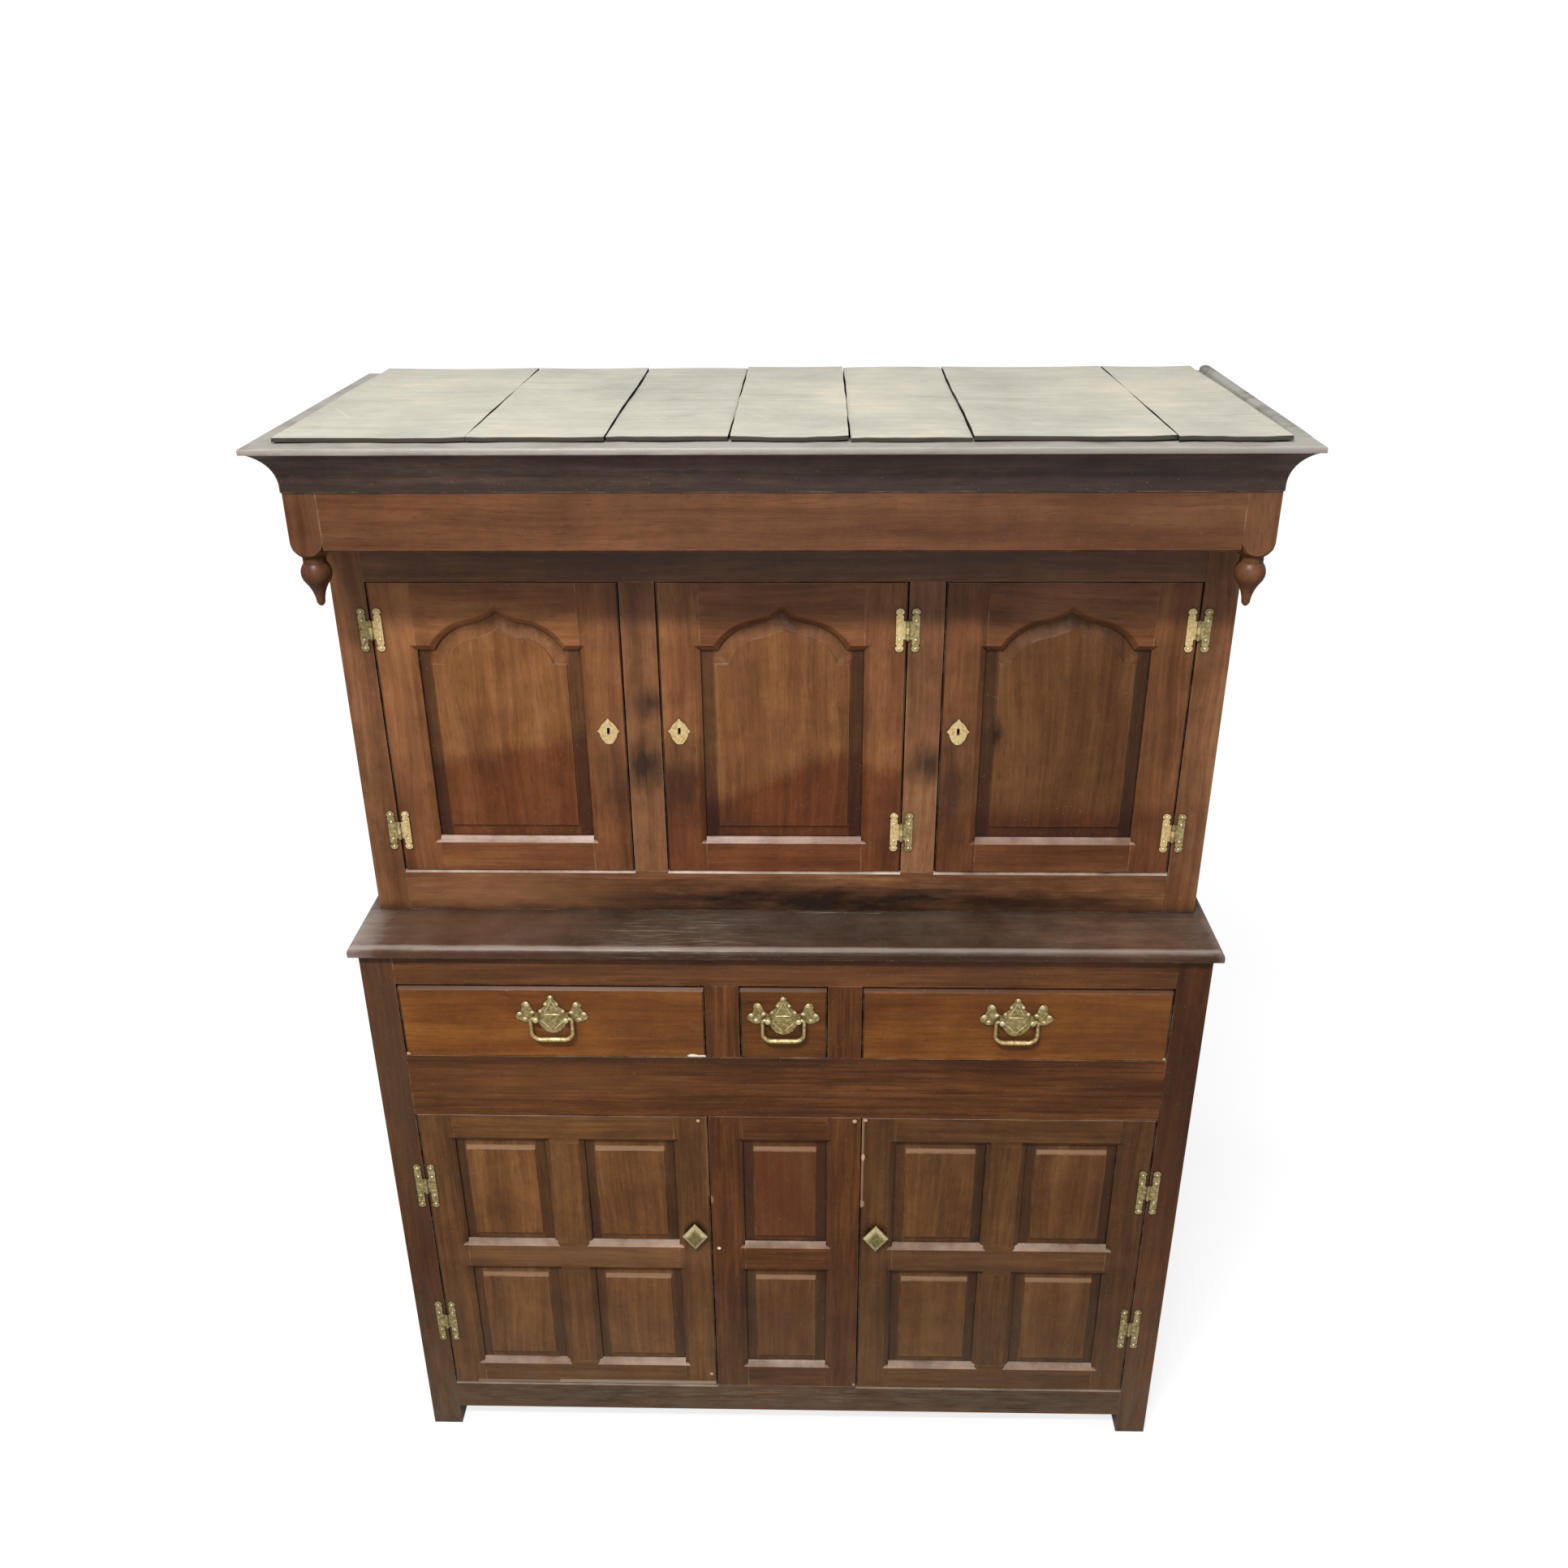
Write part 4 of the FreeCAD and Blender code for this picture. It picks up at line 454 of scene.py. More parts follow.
ROOF_TONES = [(0.3, linear(156, 156, 145)), (0.5, linear(175, 172, 159)), (0.7, linear(192, 184, 166))]
BRUSHED_SHADE = [(0.3, (0.84, 0.85, 0.85, 1.0)), (0.7, (1.07, 1.07, 1.06, 1.0))]
WIPED_GREY = linear(134, 138, 130)
SCORED_PALE = linear(212, 205, 190)
BOARD_EDGE = linear(44, 34, 28)
BOARD_GRIME_AND_SHADE = linear(40, 34, 28)


def roof_oak():
    """Bare roof boards, grey with age and dust, lighter in patches."""
    material, g, shader = new_material("roof_oak")
    place = g.place()
    x, y, z = g.split(place)
    wear = g.group(WEAR, Place=place, Reach=0.012, Rub=0.2)
    patch = g.noise(place, scale=5.0, detail=7.0, roughness=0.7)
    brushed = g.noise(g.stretch(x, y, z, 9.0, 120.0), detail=5.0, roughness=0.72)
    colour = g.mix(0.85, g.ramp(patch, ROOF_TONES), g.ramp(brushed, BRUSHED_SHADE), "MULTIPLY")
    slanted = g.plus(x, g.times(y, 0.6))
    wiped = g.noise(g.stretch(slanted, y, z, 4.0, 24.0), detail=5.0, roughness=0.7)
    colour = g.tint(colour, g.spread(wiped, 0.52, 0.74), 0.35, WIPED_GREY)
    scored = g.noise(g.stretch(y, slanted, z, 5.0, 190.0), detail=3.0, roughness=0.6)
    colour = g.tint(colour, g.spread(scored, 0.62, 0.72), 0.3, SCORED_PALE)
    up = g.split(g.add("ShaderNodeNewGeometry").outputs["Normal"])[2]
    colour = g.tint(colour, g.spread(up, 0.75, 0.25), 0.9, BOARD_EDGE)
    # Painted shade, with dirt, in the gaps and corners between the boards
    colour = g.tint(colour, wear["Crevice"], 0.8, BOARD_GRIME_AND_SHADE)
    g.relief(shader, g.plus(brushed, patch), strength=0.4, distance=0.0015)
    rough = g.spread(patch, 0.3, 0.7, 0.95, 0.85)
    g.wire(shader, {"Base Color": colour, "Roughness": rough, "Specular IOR Level": 0.2})
    return material


TARNISH_AND_SHADE = [(0.3, linear(94, 86, 46)), (0.7, linear(150, 138, 86))]
BRASS_DIRT = linear(48, 38, 20)


def brass(name, dark, middle, light, rough=0.34, dark_front=False):
    """Cast brass, dull in its hollows and brighter where hands rub it; a flat front may be darker, with
    tarnish and a painted shade.
    """
    material, g, shader = new_material(name)
    place = g.place()
    wear = g.group(WEAR, Place=place, Reach=0.008, Rub=1.0)
    mottle = g.noise(place, scale=210.0, detail=3.0, roughness=0.55)
    colour = g.ramp(mottle, [(0.26, linear(*dark)), (0.5, linear(*middle)), (0.76, linear(*light))])
    if dark_front:
        # The flat front takes tarnish and a painted shade; the facets keep the brighter brass
        facing = g.split(g.add("ShaderNodeTexCoord").outputs["Normal"])[1]
        colour = g.mix(g.spread(facing, -0.9, -0.97), colour, g.ramp(mottle, TARNISH_AND_SHADE))
    colour = g.tint(colour, wear["Edge"], 0.6, linear(*light))
    colour = g.tint(colour, wear["Crevice"], 0.75, BRASS_DIRT)
    g.relief(shader, mottle, strength=0.25, distance=0.0004)
    dull = g.spread(mottle, 0.3, 0.7, rough + 0.14, rough)
    g.wire(shader, {"Base Color": colour, "Roughness": dull, "Metallic": 0.55})
    return material


IRON_TONES = [(0.35, linear(40, 36, 33)), (0.7, linear(84, 70, 58))]


def iron():
    """Dark iron of the lock cases and bolts."""
    material, g, shader = new_material("lock_iron")
    scale = g.noise(g.place(), scale=150.0, detail=4.0, roughness=0.6)
    rough = g.spread(scale, 0.3, 0.7, 0.45, 0.75)
    g.wire(shader, {"Base Color": g.ramp(scale, IRON_TONES), "Roughness": rough, "Metallic": 0.8})
    return material


# Which oak goes on which node

SIDES = ("left", "middle", "right")
# Widths on the faces of the doors and drawers
UPPER_STILE = 0.059
LOWER_STILE = 0.054
LOWER_MEMBER = 0.045
MOULDING = 0.009
UPPER_BEVEL = 0.02
LOWER_BEVEL = 0.017
DRAWER_BEVEL = 0.009
FIELD_EDGE = 0.006
GAP_SHADE = 0.0022
# Where the muntins of the panelled sides stand, as boxes of Y and Z
BASE_SIDE_MUNTIN = (0.02, 0.0315, 0.52, 0.4)
UPPER_SIDE_MUNTIN = (0.0705, 0.0315, 1.31, 0.225)
# Half length of a mark that crosses the whole face
WHOLE_WIDTH = 9.0
# How far edges are rounded, and the angles of bent faces and sharp edges
WOOD_EDGE = 0.0009
METAL_EDGE = 0.0004
PLATE_EDGE = 0.0005
KNOB_EDGE = 0.0006
FLAT_ANGLE = math.radians(0.3)
SHARP_ANGLE = math.radians(35)
# Tints of marks on the wood, as screen values
RED_FIELD = (92, 42, 18)
DULL_RED = (88, 48, 30)
DULL_BROWN = (78, 46, 24)
FRIEZE_BROWN = (84, 52, 36)
OLIVE_SHADE = (76, 58, 42)
GREY_SHADE = (66, 52, 46)
CORNICE_GREY = (58, 50, 46)
HOLLOW_SHADE = (46, 36, 31)
DARK_UMBER = (46, 24, 12)
DEEP_BROWN = (38, 26, 20)
SOOT_AND_SHADOW = (26, 17, 12)
SOFT_BROWN = (112, 76, 56)
WARM_OAK = (152, 100, 56)
PALE_OAK = (164, 116, 78)
RAW_OAK = (196, 162, 124)
HAND_WORN = (142, 104, 74)
WORN_EDGE_AND_SHEEN = (156, 122, 94)
WORN_FOOT_AND_SHEEN = (172, 156, 128)
NOSING_SHEEN = (146, 134, 126)
NOSE_DUST_AND_SHEEN = (158, 154, 147)
CHALK = (240, 230, 214)
# Tints of the dust on the pendants, the cornice and its sprung strip
PENDANT_DUST = linear(158, 144, 134)
CORNICE_DUST = linear(150, 147, 138)
STRIP_DUST = linear(146, 144, 136)


def face_edges(node, inset=0.0):
    """Face box of a node, or of what its stiles leave of it."""
    low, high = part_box(node)
    middle, half = (low + high) / 2, (high - low) / 2
    return middle.x, half.x - inset, middle.z, half.z


def stile_boxes(node, stile):
    """Face boxes of the two stiles of a framed door."""
    x, half, level, half_up = face_edges(node)
    reach = half - stile / 2
    return [(x + side * reach, stile / 2, level, half_up) for side in (-1, 1)]


def muntin_boxes(node):
    """Face boxes of the muntins between the rails of a lower door."""
    x, _, level, half_up = face_edges(node)
    row = half_up - 1.5 * LOWER_MEMBER
    rise = LOWER_MEMBER / 2 + row / 2
    return [(x, LOWER_MEMBER / 2 + MOULDING, level + side * rise, row / 2 - MOULDING) for side in (-1, 1)]


def gap_shade(node):
    """Dark rims beside the gaps of a door or drawer: painted shade, with dirt."""
    return [(face_edges(node), GAP_SHADE, 0.9)]


def panel_boxes(node, columns):
    """What shows of the panels of a frame with two rows of them."""
    x, reach, level, half_up = face_edges(node, LOWER_STILE)
    inner = LOWER_MEMBER / 2 + MOULDING
    high = half_up - LOWER_STILE
    spans = [(x, reach)]
    if columns == 2:
        spans = [(x + side * (inner + reach) / 2, (reach - inner) / 2) for side in (-1, 1)]
    boxes = []
    for row in (-1, 1):
        row_level = level + row * (inner + high) / 2
        boxes += [(middle, half, row_level, (high - inner) / 2) for middle, half in spans]
    return boxes


def worn_and_lit_field_edges(node, columns):
    """The upper edge of the raised field of each panel, a narrow strip of its bevel, paler with wear and a
    painted highlight.
    """
    edges = []
    for middle, half, level, half_up in panel_boxes(node, columns):
        top = level + half_up - LOWER_BEVEL + FIELD_EDGE / 2
        edges.append(((middle, half - LOWER_BEVEL, top, FIELD_EDGE / 2), 0.75, WORN_EDGE_AND_SHEEN))
    return edges


def dress(node, material, bevel=WOOD_EDGE):
    """Give a node its finish and slightly rounded edges."""
    item = nodes[node]
    item.data.materials.clear()
    item.data.materials.append(material)
    if bevel:
        solids = item.modifiers.new("solids", "NODES")
        solids.node_group = SOLIDS
        flat = item.modifiers.new("flat_faces", "DECIMATE")
        flat.decimate_type = "DISSOLVE"
        flat.angle_limit = FLAT_ANGLE
        edge = item.modifiers.new("edges", "BEVEL")
        edge.width = bevel
        edge.segments = 2
        edge.limit_method = "ANGLE"
        edge.angle_limit = SHARP_ANGLE
        normals = item.modifiers.new("normals", "WEIGHTED_NORMAL")
        normals.weight = 100


def dress_oak(node, tone, axis, bevel=WOOD_EDGE, name=None, **looks):
    """Give a node an oak of its own, named after it unless a name is given."""
    dress(node, oak(name or "oak_" + node, tone, axis, **looks), bevel)


def dress_base():
    dress_oak("base_stiles", "lower_frame", "Z", streaks=0.4, floor_grime=0.6, stains=[
        ((0.61, 0.78), (0.05, 0.34), 0.65, DARK_UMBER),
        ((-0.61, 0.78), (0.05, 0.3), 0.6, OLIVE_SHADE),
        ((0.61, 0.36), (0.05, 0.26), 0.09, PALE_OAK),
    ])
    grazed = [((0.0, 0.078), (0.55, 0.024), 0.3)]
    dress_oak("base_front_rails", "lower_frame", "X", name="oak_base_rails", streaks=0.55, floor_grime=0.6,
              ledge=0.4, scuffs=grazed, stains=[
        # Painted light on the top rail, just under the base top's overhang
        ((0.0, 0.962), (0.8, 0.024), 0.12, PALE_OAK),
        ((-0.38, 0.765), (0.24, 0.035), 0.2, WARM_OAK),
        # A painted shadow line under the drawers
        ((-0.05, 0.807), (0.5, 0.012), 0.55, SOOT_AND_SHADOW),
        ((0.35, 0.072), (0.22, 0.03), 0.6, SOOT_AND_SHADOW),
        ((-0.3, 0.075), (0.16, 0.022), 0.45, SOOT_AND_SHADOW),
    ])
    dress_oak("drawer_muntins", "lower_frame", "Z", streaks=0.5)
    dress_oak("centre_frame", "lower_frame", "X", streaks=0.4, ledge=0.8, floor_grime=0.3,
              uprights=stile_boxes("centre_frame", LOWER_STILE), chips=[
        ((-0.1105, 0.4222), (0.003, 0.003), CHALK),
        ((0.1107, 0.6899), (0.0035, 0.0035), RAW_OAK),
        ((0.1174, 0.1085), (0.0025, 0.003), RAW_OAK),
        ((-0.1195, 0.527), (0.003, 0.008), HAND_WORN),
    ])
    # Painted shade, with dirt, on the side bevels of the panels
    bevels = [(box, LOWER_BEVEL, 0.5) for box in panel_boxes("centre_frame", 1)]
    dress_oak("centre_panels", "lower_panel", "Z", depth=0.95, rims=bevels, floor_grime=0.3,
              bands=worn_and_lit_field_edges("centre_frame", 1), stains=[
        ((0.0, 0.54), (0.08, 0.14), 0.7, RED_FIELD),
        ((0.0, 0.24), (0.08, 0.12), 0.3, DULL_RED),
    ])
    dress_oak("base_side_and_rear_rails", "lower_frame", "Y", name="oak_base_sides", cross="Y",
              uprights=[BASE_SIDE_MUNTIN])
    dress_oak("base_side_panels", "lower_panel", "ZY")
    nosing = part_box("base_top")[0].y
    grazed = [((-0.15, -0.19), (0.1, 0.05), 0.35), ((0.08, -0.128), (0.1, 0.004), 0.9)]
    dress_oak("base_top", "top", "X", lying=True, dust=0.1, rub=1.0, gloss=0.36, scuffs=grazed, stains=[
        # Darker in the middle and paler to the left; a painted sheen on the nosing and at both ends
        ((0.02, -0.175), (0.3, 0.07), 0.7, DEEP_BROWN),
        ((-0.5, -0.175), (0.16, 0.08), 0.35, SOFT_BROWN),
        ((-0.645, -0.19), (0.03, 0.08), 0.8, NOSING_SHEEN),
        ((0.652, -0.19), (0.014, 0.08), 0.55, NOSING_SHEEN),
        ((0.0, nosing + 0.006), (WHOLE_WIDTH, 0.0032), 0.6, NOSING_SHEEN),
    ])


def dress_inside():
    for node in ("base_backboards", "upper_backboards"):
        dress_oak(node, "inner", "Z", gloss=0.6, rub=0.3)
    for node in ("base_floor", "upper_floor", "soffit"):
        dress_oak(node, "inner", "X", gloss=0.6, rub=0.3)
    dress_oak("drawer_runners", "inner", "Y", name="oak_runners", gloss=0.55, rub=0.3)


def dress_upper_part():
    dress_oak("upper_stiles", "upper_frame", "Z")
    dress_oak("upper_front_rails", "upper_frame", "X", name="oak_upper_rails", streaks=0.3, ledge=0.9,
              stains=[
        ((0.07, 1.033), (0.36, 0.028), 0.95, SOOT_AND_SHADOW),
        ((-0.43, 1.033), (0.16, 0.03), 0.35, PALE_OAK),
        ((-0.2, 1.03), (0.2, 0.013), 0.45, SOOT_AND_SHADOW),
        ((0.38, 1.03), (0.12, 0.012), 0.45, SOOT_AND_SHADOW),
        # The top rail under the frieze, greyer and darker: painted shade with dirt
        ((0.0, 1.585), (0.8, 0.04), 0.7, GREY_SHADE),
    ])
    dress_oak("upper_muntins", "upper_frame", "Z", stains=[
        ((-0.187, 1.358), (0.02, 0.02), 0.75, SOOT_AND_SHADOW),
        ((-0.205, 1.262), (0.026, 0.034), 0.85, SOOT_AND_SHADOW),
        ((0.214, 1.262), (0.024, 0.028), 0.8, SOOT_AND_SHADOW),
    ])
    dress_oak("upper_side_and_rear_rails", "upper_frame", "Y", name="oak_upper_sides", cross="Y",
              uprights=[UPPER_SIDE_MUNTIN])
    dress_oak("upper_side_panels", "upper_panel", "ZY")
    dress_oak("frieze_boards", "frieze", "X", bevel=0.0, name="oak_frieze", returns=(0.0, 0.6), stains=[
        ((0.38, 1.655), (0.28, 0.06), 0.25, FRIEZE_BROWN),
    ])
    dress_oak("corner_pendants", "frieze", "Z", name="oak_pendants", depth=0.9, dust=0.8,
              dust_tint=PENDANT_DUST)
    dress_oak("cornice", "cornice", "X", bevel=0.0, returns=(1.0, 0.3855), dust=1.5, dust_tint=CORNICE_DUST,
              rub=0.5, grime=0.4, stains=[
        # The lip's front is paler, with dust and a painted highlight
        ((0.0, 1.7525), (WHOLE_WIDTH, 0.005), 0.9, NOSE_DUST_AND_SHEEN),
        ((0.0, 1.698), (WHOLE_WIDTH, 0.016), 0.88, HOLLOW_SHADE),
        ((0.45, 1.725), (0.35, 0.03), 0.35, CORNICE_GREY),
    ])


# Finish of each upper door's frame and panel; the painted reflections darken their lower parts
UPPER_FRAMES = {
    "left": {"depth": 1.08, "painted_reflections": [((-0.58, 1.225), 0.0, 0.35)], "stains": [
        ((-0.249, 1.235), (0.03, 0.055), 0.6, SOOT_AND_SHADOW),
        ((-0.247, 1.34), (0.032, 0.15), 0.25, DULL_BROWN),
        ((-0.548, 1.33), (0.028, 0.18), 0.14, PALE_OAK),
    ]},
    "middle": {"depth": 0.95, "painted_reflections": [((0.166, 1.255), 0.0, 0.65)], "stains": [
        ((-0.147, 1.235), (0.032, 0.06), 0.65, SOOT_AND_SHADOW),
    ]},
    "right": {"depth": 0.8, "painted_reflections": [((0.4, 1.19), 0.0, 0.45)], "stains": [
        ((0.25, 1.225), (0.03, 0.085), 0.6, SOOT_AND_SHADOW),
    ]},
}
UPPER_PANELS = {
    "left": {"depth": 0.98, "painted_reflections": [((-0.468, 1.272), 0.2, 0.7)]},
    "middle": {"depth": 0.85, "painted_reflections": [((-0.103, 1.2), 0.42, 0.75)], "stains": [
        ((-0.1, 1.16), (0.04, 0.03), 0.4, SOOT_AND_SHADOW),
    ]},
    "right": {"depth": 0.58, "painted_reflections": [((0.4, 1.185), 0.0, 0.65)], "stains": [
        ((0.309, 1.311), (0.006, 0.024), 0.95, SOOT_AND_SHADOW),
        ((0.4, 1.15), (0.11, 0.03), 0.4, SOOT_AND_SHADOW),
    ]},
}


def dress_upper_doors():
    for side in SIDES:
        door = f"upper_{side}_door"
        frame_node = door + "_frame"
        dress_oak(frame_node, "upper_door", "X", name=f"oak_{door}", gloss=0.36, ledge=0.55,
                  uprights=stile_boxes(frame_node, UPPER_STILE), rims=gap_shade(frame_node),
                  **UPPER_FRAMES[side])
        # Painted shade, with dirt, on the side bevels of the panel
        bevel = (face_edges(frame_node, UPPER_STILE), UPPER_BEVEL, 0.55)
        dress_oak(door + "_panel", "upper_panel", "Z", gloss=0.36, grime=0.9, rims=[bevel],
                  **UPPER_PANELS[side])


# Finish of each lower door's frame and panels; the bands are pale edges that rub, and the left door's foot
# also takes a painted highlight
LOWER_FRAMES = {
    "left": {
        "depth": 1.17,
        "stains": [((-0.35, 0.405), (0.2, 0.022), 0.35, HAND_WORN)],
        "chips": [
            ((-0.1366, 0.6883), (0.003, 0.003), RAW_OAK),
            ((-0.1318, 0.1304), (0.0035, 0.004), RAW_OAK),
        ],
        "bands": [
            ((-0.1241, 0.0016, 0.615, 0.08), 0.45, HAND_WORN),
            # A pale line along the door's foot: wear with a painted highlight on its arris
            ((-0.262, 0.138, 0.1088, 0.0042), 0.75, WORN_FOOT_AND_SHEEN),
            ((-0.47, 0.075, 0.1075, 0.003), 0.45, WORN_FOOT_AND_SHEEN),
        ],
    },
    "right": {
        "depth": 0.96,
        "stains": [((0.35, 0.405), (0.2, 0.022), 0.2, HAND_WORN)],
        "chips": [
            ((0.1252, 0.6178), (0.003, 0.007), RAW_OAK),
            ((0.123, 0.5217), (0.0055, 0.008), WORN_EDGE_AND_SHEEN),
            ((0.128, 0.692), (0.003, 0.003), RAW_OAK),
        ],
        "bands": [((0.1243, 0.0018, 0.612, 0.083), 0.75, WORN_EDGE_AND_SHEEN)],
    },
}
LOWER_PANELS = {
    "left": {"depth": 1.17},
    "right": {"depth": 0.96, "stains": [
        ((0.46, 0.22), (0.2, 0.14), 0.26, DULL_BROWN),
        ((0.52, 0.55), (0.08, 0.12), 0.2, DULL_BROWN),
    ]},
}


def dress_lower_doors():
    for side in ("left", "right"):
        door = f"lower_{side}_door"
        frame_node = door + "_frame"
        uprights = stile_boxes(frame_node, LOWER_STILE) + muntin_boxes(frame_node)
        dress_oak(frame_node, "lower_door", "X", name=f"oak_{door}", streaks=0.3, ledge=0.7, floor_grime=0.3,
                  uprights=uprights, rims=gap_shade(frame_node), **LOWER_FRAMES[side])
        # Painted shade, with dirt, on the side bevels of the panels
        bevels = [(box, LOWER_BEVEL, 0.5) for box in panel_boxes(frame_node, 2)]
        dress_oak(door + "_panels", "lower_panel", "Z", grime=0.9, floor_grime=0.35, rims=bevels,
                  bands=worn_and_lit_field_edges(frame_node, 2), **LOWER_PANELS[side])


# Finish of each drawer's front
DRAWER_FRONTS = {
    "left": {"depth": 1.08, "stains": [((-0.2, 0.87), (0.11, 0.07), 0.45, DULL_BROWN)], "chips": [
        ((-0.14, 0.814), (0.009, 0.0036), CHALK),
        ((-0.126, 0.8132), (0.014, 0.0024), CHALK),
        ((-0.583, 0.814), (0.005, 0.003), RAW_OAK),
    ]},
    "middle": {"depth": 0.68},
    "right": {"depth": 0.97, "stains": [((0.53, 0.87), (0.1, 0.07), 0.45, DULL_BROWN)], "chips": [
        ((0.583, 0.814), (0.004, 0.003), RAW_OAK),
    ]},
}


def dress_drawers():
    for side in SIDES:
        drawer = f"{side}_drawer"
        x, half, level, half_up = face_edges(drawer + "_front")
        chamfer = (x, half, level + half_up - DRAWER_BEVEL / 2, DRAWER_BEVEL / 2)
        dress_oak(drawer + "_front", "drawer", "X", name=f"oak_{drawer}", gloss=0.58, rub=0.8,
                  rims=gap_shade(drawer + "_front"), bands=[(chamfer, 0.55, DULL_BROWN)],
                  **DRAWER_FRONTS[side])
        dress_oak(drawer + "_box", "inner", "Y", gloss=0.6, rub=0.3)


def add_mesh(name, shape, material, body):
    """Turn a built shape into a smooth piece that rides on a body."""
    for face in shape.faces:
        face.smooth = True
    data = bpy.data.meshes.new(name)
    shape.to_mesh(data)
    shape.free()
    data.materials.append(material)
    item = bpy.data.objects.new(name, data)
    scene.collection.objects.link(item)
    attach(item, body)
    return item


# Small brass trim: hinge nails, pattern and post caps of the drawer plates, grips of the bails

LEAF_MIDDLE = 0.01125
LEAF_THICKNESS = 0.0018
KNUCKLE_RADIUS = 0.0025
UPPER_HINGE = 0.064
LOWER_HINGE = 0.088
# The side that each door hangs on
HUNG = {"upper_left_door": -1, "upper_middle_door": 1, "upper_right_door": 1, "lower_left_door": -1,
        "lower_right_door": 1}
NAIL_LEVELS = (-0.42, -0.22, 0.22, 0.42)
NAIL_HEAD = (0.0019, 0.0012, 0.0019)
PLATE_THICKNESS = 0.0016
PLATE_TOP = 0.037
POST_X = 0.023
POST_LENGTH = 0.013
POST_CAP = (0.0045, 0.0018, 0.0045)
BAIL_WIRE = 0.0025
BAIL_SHOULDER = 0.97
BAIL_GRIP = 0.0037
BAIL_CORNER = 0.014
BAIL_TOP = 0.8
FLAT_STEPS = 6
CORNER_STEPS = 8
BAR_SIDES = 14
LOBE_RISE = 0.0016
RIDGE = 0.0012
# Lobes of one half of a drawer plate: X and Z from the middle of the posts, and their half sizes
PLATE_LOBES = (
    (0.0085, 0.0203, 0.0026, 0.0028),
    (0.0172, 0.0078, 0.0028, 0.003),
    (0.0375, 0.02, 0.0042, 0.0048),
    (0.049, 0.003, 0.0042, 0.0036),
    (0.0415, -0.0062, 0.0042, 0.003),
    (0.03, 0.005, 0.004, 0.0034),
)
# Its ridges: X, Z, half length and lean
PLATE_RIDGES = ((0.0065, 0.0145, 0.0142, -0.478), (0.0085, -0.018, 0.0122, 0.757))
# In its middle a lobe, by Z and half sizes, and a level ridge, by Z and half length
CROWN_LOBE = (0.033, 0.0028, 0.003)
LEVEL_RIDGE = (0.002, 0.0135)


def bead(shape, place, reach, turn=0.0):
    """A closed swelling with half lengths along X, Y and Z, turned about Y."""
    matrix = Matrix.Translation(place) @ Matrix.Rotation(turn, 4, "Y") @ Matrix.Diagonal((*reach, 1.0))
    bmesh.ops.create_uvsphere(shape, u_segments=12, v_segments=8, radius=1.0, matrix=matrix)


def make_nails(material):
    """Four nail heads on each leaf; those of fixed leaves ride on the carcase."""
    fixed = bmesh.new()
    for door, side in HUNG.items():
        part, height = ("brass", UPPER_HINGE) if "upper" in door else ("hinges", LOWER_HINGE)
        low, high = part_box(f"{door}_{part}")
        axis = high.x - KNUCKLE_RADIUS if side > 0 else low.x + KNUCKLE_RADIUS
        face = high.y - LEAF_THICKNESS
        centres = (low.z + height / 2, high.z - height / 2)
        moving = bmesh.new()
        for shape, way in ((moving, -side), (fixed, side)):
            x = axis + way * LEAF_MIDDLE
            for centre, level in itertools.product(centres, NAIL_LEVELS):
                bead(shape, (x, face, centre + level * height), NAIL_HEAD)
        add_mesh(door + "_hinge_nails", moving, material, door)
    add_mesh("carcase_hinge_nails", fixed, material, "carcase")


def make_plate_pattern(side, material):
    """Raised lobes, a ridged triangle and a bowl on a drawer plate, and caps on its posts."""
    drawer = f"{side}_drawer"
    low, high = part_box(drawer + "_plate")
    middle = (low.x + high.x) / 2
    axis = high.z - PLATE_TOP
    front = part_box(drawer + "_front")[0].y - PLATE_THICKNESS
    shape = bmesh.new()
    level, reach_x, reach_z = CROWN_LOBE
    bead(shape, (middle, front, axis + level), (reach_x, LOBE_RISE, reach_z))
    level, reach = LEVEL_RIDGE
    bead(shape, (middle, front, axis + level), (reach, RIDGE, RIDGE))
    for way in (-1, 1):
        for x, z, reach_x, reach_z in PLATE_LOBES:
            bead(shape, (middle + way * x, front, axis + z), (reach_x, LOBE_RISE, reach_z))
        for x, z, reach, lean in PLATE_RIDGES:
            bead(shape, (middle + way * x, front, axis + z), (RIDGE, RIDGE, reach), way * lean)
        bead(shape, (middle + way * POST_X, front - POST_LENGTH, axis), POST_CAP)
    add_mesh(drawer + "_plate_pattern", shape, material, drawer)


def close_rings(shape, rings):
    """Faces between rings of points, one after another, and over both ends."""
    count = len(rings[0])
    for one, two in zip(rings, rings[1:]):
        for turn in range(count):
            after = (turn + 1) % count
            shape.faces.new((one[turn], one[after], two[after], two[turn]))
    shape.faces.new(rings[0][::-1])
    shape.faces.new(rings[-1])
    bmesh.ops.recalc_face_normals(shape, faces=shape.faces)


def swept(points, radii):
    """A round bar through points that share one Y, closed at its ends."""
    shape = bmesh.new()
    rings = []
    for step, (point, radius) in enumerate(zip(points, radii)):
        ahead = (points[min(step + 1, len(points) - 1)] - points[max(step - 1, 0)]).normalized()
        side = Vector((-ahead.z, 0.0, ahead.x))
        ring = []
        for turn in range(BAR_SIDES):
            angle = 2.0 * math.pi * turn / BAR_SIDES
            out = math.cos(angle) * side + math.sin(angle) * Vector((0.0, 1.0, 0.0))
            ring.append(shape.verts.new(point + radius * out))
        rings.append(ring)
    close_rings(shape, rings)
    return shape


